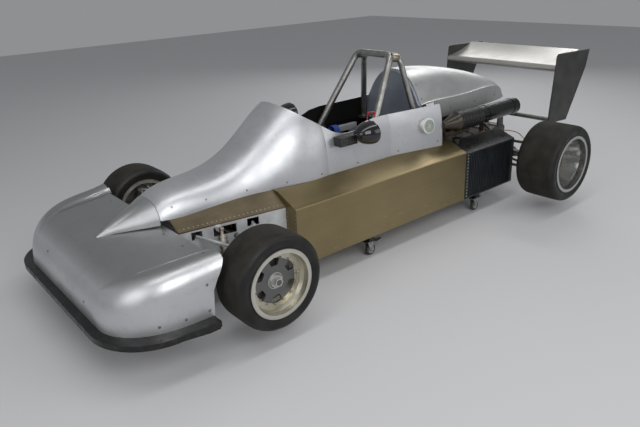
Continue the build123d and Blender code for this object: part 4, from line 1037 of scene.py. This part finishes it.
for dial_name, y, z, radius in dial_rows:
    face_x = on_surface("dash", (0.40, y, z), (1, 0, 0))[0].x
    start_piece()
    bpy.ops.mesh.primitive_torus_add(
        location=(face_x - 0.0016, y, z), rotation=(0, math.radians(90), 0),
        major_radius=radius - 0.0035, minor_radius=0.0024, major_segments=40, minor_segments=8,
    )
    bezel = bpy.context.object
    finish_piece(bezel, f"{dial_name}_bezel", bezel_chrome, angle=60)
    marks = []
    for step in range(stroke_count):
        turn = math.radians(first_stroke + step * stroke_turn)
        stroke_length = radius * (0.20 if step % 5 == 0 else 0.12)
        far = radius - 0.0075 - stroke_length / 2
        start_piece()
        bpy.ops.mesh.primitive_cube_add(
            size=1, location=(face_x - 0.0009, y - math.cos(turn) * far, z - math.sin(turn) * far),
            rotation=(turn, 0, 0), scale=(0.0008, stroke_length, 0.0011),
        )
        marks.append(bpy.context.object)
    start_piece()
    bpy.ops.mesh.primitive_cone_add(
        vertices=4, radius1=0.0016, radius2=0.0003, depth=radius * 0.72,
        location=(face_x - 0.0014, y - radius * 0.18, z - radius * 0.16),
        rotation=(math.radians(pointer_turn), 0, 0), scale=(0.5, 1, 1),
    )
    marks.append(bpy.context.object)
    finish_piece(joined(marks), f"{dial_name}_marks", dial_white)


# Steering wheel: a ring of tube covered in black suede leather, on three alloy spokes and a
# turned hub. The suede is worn shiny where the hands sit.
suede, tree, shader = new_finish("suede", 0.02, 0.0, 0.8)
hub_place = (0.520, 0.0, 0.735)
suede_from = 0.1115
reach = reach_from(tree, hub_place, (1, 1, 1))
for socket, alloy, leather in (("Base Color", 0.33, 0.018), ("Metallic", 0.9, 0.0)):
    zones = ramp(tree, reach, ((0.0, alloy), (suede_from, leather)), even=False)
    tree.links.new(zones, shader.inputs[socket])
wear(tree, shader, gloss=(22.0, 5.0, 0.35, 0.85), relief=(900.0, 2.0, 0.2, 0.0005))
dress(("steering_wheel",), suede)


# Roll structure: two welded hoops of seamless steel tube, plated and dulled by the weather. A wide
# steel sleeve, browned by the welding heat, wraps the left top corner where the hoops meet.
def sleeve(place, run, radius, width, thickness, sides):
    """Band of bent sheet round a tube that runs along run"""
    start_piece()
    bpy.ops.mesh.primitive_cylinder_add(
        vertices=sides, radius=radius, depth=width, end_fill_type="NOTHING", location=place,
        rotation=run.to_track_quat("Z", "Y").to_euler(),
    )
    piece = settle()
    applied(piece, "SOLIDIFY", thickness=thickness, offset=1)
    return piece


plated_tube = worn_finish(
    "plated_tube", ((0.40, 0.40, 0.385), 0.92, 0.34),
    tint=(24.0, 8.0, (0.35, (0.26, 0.255, 0.24)), (0.7, (0.37, 0.368, 0.355))),
    gloss=(30.0, 6.0, 0.26, 0.48), relief=(380.0, 2.0, 0.04, 0.001),
)
dress(("roll_structure", "rear_links", "steering_rack"), plated_tube)
dress(("front_wishbones",), bare_sheet)
browned_steel = worn_finish(
    "browned_steel", ((0.36, 0.32, 0.25), 0.92, 0.32),
    tint=(34.0, 6.0, (0.35, (0.27, 0.235, 0.18)), (0.7, (0.42, 0.385, 0.31))),
    gloss=(60.0, 6.0, 0.22, 0.42),
)
corner_front = Vector((-0.184, 0.148, 1.180))
corner_rear = Vector((-0.252, 0.154, 1.170))
band = sleeve(
    (corner_front + corner_rear) / 2, corner_rear - corner_front,
    radius=0.0246, width=0.060, thickness=0.0022, sides=48,
)
applied(band, "BEVEL", width=0.0005, segments=2)
finish_piece(band, "corner_sleeve", browned_steel)


# Red handle: a square pull of red coated rod beside the hoop's left front leg, on a steel clip that
# grips the tube just above the edge of the cockpit.
def bent_rod(name, places, material, radius):
    """Round rod that follows the given places with small bends between straight runs"""
    line = bpy.data.curves.new(name, "CURVE")
    line.dimensions = "3D"
    line.bevel_depth = radius
    line.bevel_resolution = 3
    line.use_fill_caps = True
    line.resolution_u = 6
    spline = line.splines.new("NURBS")
    spline.points.add(len(places) - 1)
    for point, place in zip(spline.points, places):
        point.co = (*place, 1)
    spline.order_u = 3
    spline.use_endpoint_u = True
    rod = bpy.data.objects.new(name, line)
    bpy.context.scene.collection.objects.link(rod)
    pick(rod)
    bpy.ops.object.convert(target="MESH")
    return finish_piece(bpy.context.object, name, material, angle=50)


red_coat = worn_finish(
    "red_coat", ((0.50, 0.03, 0.03), 0.0, 0.35),
    tint=(50.0, 6.0, (0.35, (0.38, 0.018, 0.018)), (0.7, (0.62, 0.040, 0.038))),
)
leg_foot = Vector((0.110, 0.262, 0.7003))
leg_head = Vector((-0.184, 0.156, 1.196))
clip = sleeve(
    leg_foot.lerp(leg_head, 0.27), leg_head - leg_foot,
    radius=0.0223, width=0.016, thickness=0.002, sides=40,
)
finish_piece(clip, "handle_clip", plated_tube)
handle_places = (
    (0.052, 0.250, 0.832), (0.060, 0.260, 0.834), (0.070, 0.262, 0.836), (0.070, 0.262, 0.846),
    (0.072, 0.263, 0.880), (0.080, 0.263, 0.884), (0.128, 0.268, 0.890), (0.138, 0.269, 0.888),
    (0.139, 0.268, 0.880), (0.140, 0.262, 0.830), (0.134, 0.261, 0.824), (0.078, 0.256, 0.822),
    (0.064, 0.250, 0.822), (0.050, 0.246, 0.824),
)
bent_rod("red_handle", handle_places, red_coat, radius=0.0036)


# Bulkhead panel: a flat sheet behind the driver, sprayed blue grey and rubbed smooth. The engine
# cover in silver lacquer closes over it, held along its front edge by quarter turn studs.
grey_blue = worn_finish(
    "grey_blue", ((0.26, 0.29, 0.34), 0.35, 0.38),
    tint=(7.0, 7.0, (0.3, (0.215, 0.240, 0.285)), (0.7, (0.300, 0.335, 0.390))),
    gloss=(12.0, 6.0, 0.30, 0.48),
)
dress(("bulkhead_panel",), grey_blue)
silver_cover = silver_paint("silver_cover", 0.80, (0.47, 0.47, 0.465), (0.56, 0.56, 0.555))
dress(("engine_cover",), silver_cover)
cover_rows = ((-0.405, 0.885), (-0.405, 0.975), (-0.72, 0.772), (-1.02, 0.772), (-1.30, 0.772))
cover_studs = [on_flank("engine_cover", hand, x, z) for hand in (1, -1) for x, z in cover_rows]
set_heads(
    "cover_studs", cover_studs, stud_steel, radius=0.0070, height=0.0016, sides=12,
)


# Engine and gearbox: sand cast aluminium and magnesium, grey with oil film and dirt in the corners
# between the ribs. Hexagon bolts run in two rows along the top of the engine.
raw_casting = worn_finish(
    "raw_casting", ((0.22, 0.22, 0.21), 0.7, 0.55),
    tint=(15.0, 9.0, (0.35, (0.13, 0.125, 0.115)), (0.68, (0.27, 0.27, 0.26))),
    gloss=(22.0, 6.0, 0.38, 0.68), relief=(160.0, 4.0, 0.25, 0.0015),
)
dress(("engine", "rear_uprights", "knuckle_left", "knuckle_right", "rack_housing"), raw_casting)
dark_casting = worn_finish(
    "dark_casting", ((0.10, 0.10, 0.095), 0.6, 0.55),
    tint=(17.0, 9.0, (0.35, (0.06, 0.058, 0.05)), (0.7, (0.15, 0.145, 0.13))),
    relief=(170.0, 4.0, 0.25, 0.0015),
)
dress(("gearbox",), dark_casting)
bolt_row_x = -0.68
bolt_row_y = 0.045
bolt_pitch = 0.055
engine_bolts = [
    on_surface("engine", (bolt_row_x - step * bolt_pitch, hand * bolt_row_y, 0.9), (0, 0, -1))
    for hand in (1, -1) for step in range(7)
]
set_heads(
    "engine_bolts", engine_bolts, zinc_plate, radius=0.0055, height=0.0045, sides=6,
)


# Exhaust and silencer: rusted steel pipes into a heat blued cone, then a body wrapped in glass tape
# and a glossy black can held by two steel straps. The cone's dark warm bronze is a painted
# reflection.
def ridges(tree, scale, axle=None, distortion=0.0, detail=2.0):
    """Even ridges that cross the car's length, or rings about an axle"""
    wave = tree.nodes.new("ShaderNodeTexWave")
    wave.wave_type = "RINGS" if axle else "BANDS"
    wave.bands_direction = "X"
    wave.rings_direction = "Y"
    wave.inputs["Scale"].default_value = scale
    wave.inputs["Distortion"].default_value = distortion
    wave.inputs["Detail"].default_value = detail
    shift = tuple(-value for value in axle or (0, 0, 0))
    tree.links.new(object_point(tree, shift=shift), wave.inputs["Vector"])
    return wave.outputs["Fac"]


exhaust_steel = worn_finish(
    "exhaust_steel", ((0.22, 0.17, 0.13), 0.75, 0.5),
    tint=(14.0, 8.0, (0.35, (0.08, 0.055, 0.04)), (0.7, (0.18, 0.14, 0.10))),
    relief=(200.0, 4.0, 0.15, 0.001),
)
dress(("exhaust_pipe",), exhaust_steel)
can_rear_x = -1.4
can_front_x = -0.9
cone_rear_x = -0.65
wrap_from = can_front_x - can_rear_x
cone_from = cone_rear_x - can_rear_x
can_black, tree, shader = new_finish("can_black", (0.014, 0.013, 0.012), 0.2, 0.25)
along = split(tree, object_point(tree, shift=(-can_rear_x, 0, 0)))["X"]
# The cone's zone takes a dark warm bronze, which is a painted reflection
can_zones = (
    (0.0, 0.009), (wrap_from, (0.012, 0.011, 0.010)), (cone_from, (0.040, 0.031, 0.020)),
)
tree.links.new(ramp(tree, along, can_zones, even=False), shader.inputs["Base Color"])
wrapped = ramp(tree, along, ((0.0, 0.0), (wrap_from, 1.0), (cone_from, 0.0)), even=False)
smooth_gloss = grey_ramp(tree, object_noise(tree, 26.0, 7.0), 0.12, 0.30)
tree.links.new(blended(tree, wrapped, smooth_gloss, 0.38), shader.inputs["Roughness"])
tape = ridges(tree, 9.0, distortion=2.5, detail=3.0)
bump(tree, shader, calculated(tree, "MULTIPLY", tape, wrapped), 0.7, 0.004)
dress(("silencer",), can_black)


# Radiators: a blue black core of thin fins in a black painted frame. Bright pop rivets hold the
# frame's front flange, and the ducts above are black sheet.
frame_black, tree, shader = new_finish("frame_black", (0.012, 0.012, 0.013), 0.0, 0.4)
core_inner_y = 0.4215
core_outer_y = 0.4735
beside = calculated(tree, "ABSOLUTE", split(tree, object_point(tree))["Y"])
core = ramp(tree, beside, ((0.0, 0.0), (core_inner_y, 1.0), (core_outer_y, 0.0)), even=False)
core_tint = ramp(
    tree, object_noise(tree, 26.0, 8.0, (1, 1, 0.35)),
    ((0.35, (0.005, 0.007, 0.009)), (0.75, (0.016, 0.021, 0.026))),
)
tree.links.new(blended(tree, core, (0.013, 0.013, 0.014), core_tint), shader.inputs["Base Color"])
wear(tree, shader, gloss=(20.0, 6.0, 0.34, 0.6))
bump(tree, shader, calculated(tree, "MULTIPLY", ridges(tree, 62.0), core), 0.3, 0.0012)
dress(("radiators",), frame_black)
cover_black = worn_finish(
    "cover_black", ((0.013, 0.013, 0.014), 0.1, 0.3),
    tint=(16.0, 8.0, (0.4, 0.010), (0.85, (0.026, 0.024, 0.020))), gloss=(12.0, 7.0, 0.22, 0.42),
)
dress(("radiator_covers",), cover_black)
bright_rivet = worn_finish(
    "bright_rivet", ((0.60, 0.60, 0.58), 0.8, 0.4),
    tint=(400.0, 2.0, (0.35, (0.46, 0.46, 0.44)), (0.7, (0.70, 0.70, 0.68))),
)
flange_x = -0.640
flange_foot_z = 0.176
flange_pitch = 0.0235
radiator_rivets = [
    on_flank("radiators", hand, flange_x, flange_foot_z + step * flange_pitch)
    for hand in (1, -1) for step in range(14)
]
set_heads(
    "radiator_rivets", radiator_rivets, bright_rivet, radius=0.0042, height=0.0022,
)


# Wing and end plates: the wing is skinned in silver lacquered sheet on ribs, and a plated steel
# tube carries it. The end plates are flat sheet sprayed dark grey, rubbed along their edges.
silver_wing = silver_paint("silver_wing", 1.0, (0.50, 0.49, 0.46), (0.58, 0.57, 0.54))
dress(("rear_wing",), silver_wing)
dress(("wing_tube",), plated_tube)
plate_grey = worn_finish(
    "plate_grey", ((0.055, 0.057, 0.06), 0.3, 0.42),
    tint=(8.0, 9.0, (0.35, (0.034, 0.034, 0.035)), (0.75, (0.062, 0.060, 0.056))),
    gloss=(14.0, 7.0, 0.30, 0.52),
)
dress(("end_plates",), plate_grey)


# Dampers, shafts and brakes: steel dampers with springs of plated wire, brown with heat and road
# dirt, and bare steel drive shafts. Copper pipes feed the brakes, whose discs are ground iron.
damper_steel = worn_finish(
    "damper_steel", ((0.30, 0.26, 0.22), 0.8, 0.42),
    tint=(25.0, 6.0, (0.35, (0.17, 0.13, 0.10)), (0.7, (0.38, 0.35, 0.31))),
)
dress(("front_dampers", "rear_dampers"), damper_steel)
dress(("drive_shaft_left", "drive_shaft_right"), plated_tube)
copper_pipe = worn_finish(
    "copper_pipe", ((0.50, 0.22, 0.09), 0.6, 0.38),
    tint=(40.0, 6.0, (0.35, (0.36, 0.14, 0.055)), (0.7, (0.60, 0.28, 0.12))),
)
for hand, side_name in both_sides:
    pipe_start, _ = on_flank("gearbox", hand, -1.150, 0.450)
    pipe_end, _ = on_surface("rear_uprights", (-1.262, 0, 0.440), (0, hand, 0))
    pipe_places = (
        pipe_start, pipe_start + Vector((0, hand * 0.03, 0.004)),
        pipe_start + Vector((-0.01, hand * 0.08, 0.055)), (-1.25, hand * 0.30, 0.520),
        (-1.27, pipe_end.y - hand * 0.12, 0.528), pipe_end + Vector((0, hand * -0.05, 0.05)),
        pipe_end + Vector((0, hand * -0.012, 0)), pipe_end,
    )
    bent_rod(f"brake_pipe_{side_name}", pipe_places, copper_pipe, radius=0.0034)

front_axle = (1.280, 0, 0.336)
rear_axle = (-1.280, 0, 0.360)
ground_iron, tree, shader = new_finish("ground_iron", (0.30, 0.29, 0.28), 0.9, 0.4)
grooves = ridges(tree, 120.0, front_axle)
tree.links.new(grey_ramp(tree, grooves, 0.30, 0.48), shader.inputs["Roughness"])
bump(tree, shader, grooves, 0.08, 0.0005)
dress(("brake_disc_front_left", "brake_disc_front_right"), ground_iron)


# Rims: two piece wheels with spun barrels and a cast centre, bolted together round a ring. The
# barrels are lacquered champagne and the centres are dull grey with brake dust in the corners.
def rim_finish(name, axle, zones, gloss_low, gloss_high):
    """Metal whose colour changes with the distance from the axle"""
    material, tree, shader = new_finish(name, zones[-1][1], 0.9, 0.3)
    base = ramp(tree, reach_from(tree, axle), zones, even=False)
    dirt = grey_ramp(tree, object_noise(tree, 9.0, 5.0), 0.0, 0.22, 0.50, 0.80)
    tree.links.new(blended(tree, dirt, base, (0.085, 0.075, 0.06)), shader.inputs["Base Color"])
    wear(tree, shader, gloss=(34.0, 6.0, gloss_low, gloss_high))
    return material


front_zones = (
    # radius at which a zone starts, its colour
    (0.0, 0.16), (0.0155, (0.54, 0.54, 0.53)), (0.041, (0.165, 0.166, 0.162)),
    (0.1165, (0.56, 0.53, 0.43)), (0.1505, (0.52, 0.495, 0.425)), (0.158, (0.62, 0.60, 0.53)),
    (0.170, (0.56, 0.55, 0.50)),
)
rear_zones = (
    (0.0, (0.34, 0.33, 0.31)), (0.041, (0.20, 0.18, 0.15)), (0.1275, (0.28, 0.23, 0.16)),
    (0.1505, (0.46, 0.46, 0.45)), (0.192, (0.46, 0.46, 0.45)),
)
dress(nodes_like("rim_front"), rim_finish("front_rim", front_axle, front_zones, 0.30, 0.44))
dress(nodes_like("rim_rear"), rim_finish("rear_rim", rear_axle, rear_zones, 0.10, 0.26))
ring_bolts = 15
ring_radius = 0.1232
for hand, side_name in both_sides:
    bolt_rows = []
    for step in range(ring_bolts):
        turn = math.tau * (step + 0.5) / ring_bolts
        x = front_axle[0] + ring_radius * math.cos(turn)
        z = front_axle[2] + ring_radius * math.sin(turn)
        bolt_rows.append(on_surface(f"rim_front_{side_name}", (x, hand * 1.2, z), (0, -hand, 0)))
    set_heads(
        f"rim_bolts_{side_name}", bolt_rows, stud_steel,
        radius=0.0066, height=0.0056, body=f"wheel_front_{side_name}", sides=6,
    )


# Tyres: treadless racing slicks on nylon carcasses, moulded with a soft shoulder and a thin rim
# guard. The tread is worn matt and brown with dust, and the walls are blacker and shine a little.
def tyre_finish(name, axle, tread_from, tread_radius):
    """Rubber with a dusty brown tread and a blacker, glossier wall"""
    material, tree, shader = new_finish(name, 0.02, 0.0, 0.6, (("Specular IOR Level", 0.30),))
    worn = grey_ramp(tree, reach_from(tree, axle), 0.0, 1.0, tread_from, tread_radius)
    tread_tints = ((0.3, (0.013, 0.012, 0.0095)), (0.75, (0.034, 0.031, 0.025)))
    wall_tints = ((0.35, 0.007), (0.78, (0.022, 0.021, 0.019)))
    tread = ramp(tree, object_noise(tree, 13.0, 9.0), tread_tints)
    wall = ramp(tree, object_noise(tree, 9.0, 9.0), wall_tints)
    tree.links.new(blended(tree, worn, wall, tread), shader.inputs["Base Color"])
    wall_gloss = grey_ramp(tree, object_noise(tree, 24.0, 6.0), 0.34, 0.56)
    tree.links.new(blended(tree, worn, wall_gloss, 0.78), shader.inputs["Roughness"])
    wear(tree, shader, relief=(240.0, 5.0, 0.16, 0.0012))
    return material


def turned(middle, outline, steps):
    """Ring turned about the axle through middle; outline is closed, as (radius, along) pairs"""
    start_piece()
    bpy.ops.mesh.primitive_circle_add(vertices=len(outline), radius=1, location=(0, 0, 0))
    piece = bpy.context.object
    for vertex, (radius, along) in zip(piece.data.vertices, outline):
        vertex.co = (middle[0] + radius, middle[1] + along, middle[2])
    edit_mesh()
    bpy.ops.mesh.select_all(action="SELECT")
    bpy.ops.mesh.spin(
        steps=steps, angle=2 * math.pi, center=middle, axis=(0, 1, 0), use_auto_merge=True,
    )
    bpy.ops.mesh.select_all(action="SELECT")
    bpy.ops.mesh.remove_doubles(threshold=0.00002)
    leave_mesh()
    turn_outwards()
    return piece


tyre_rows = (
    # end, axle, how far out, tread radius, half width, bead radius, flange radius
    ("front", front_axle, 0.736, 0.252, 0.114, 0.1662, 0.181),
    ("rear", rear_axle, 0.7635, 0.276, 0.1515, 0.1912, 0.206),
)
bead_inset = 0.0144
turning_steps = 96
for end, axle, out, tread, half, bead, flange in tyre_rows:
    finish = tyre_finish(f"slick_{end}", axle, tread - 0.012, tread - 0.002)
    wall = half - bead_inset
    side_line = (
        (bead, wall - 0.010), (bead, wall), (flange - 0.002, wall), (flange + 0.001, wall + 0.004),
        (flange + 0.007, wall + 0.0065), (flange + 0.012, wall + 0.0068),
        (flange + 0.024, half - 0.0035), (tread - 0.030, half), (tread - 0.016, half - 0.006),
        (tread - 0.005, half - 0.018), (tread - 0.001, half - 0.032), (tread, half - 0.052),
    )
    outline = (*side_line, *((radius, -along) for radius, along in reversed(side_line)))
    for hand, side_name in both_sides:
        slick = turned((axle[0], hand * out, axle[2]), outline, turning_steps)
        subdivided(slick, 1)
        finish_piece(
            slick, f"slick_{end}_{side_name}", finish,
            f"wheel_{end}_{side_name}", angle=60,
        )
        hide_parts(f"tyre_{end}_{side_name}")
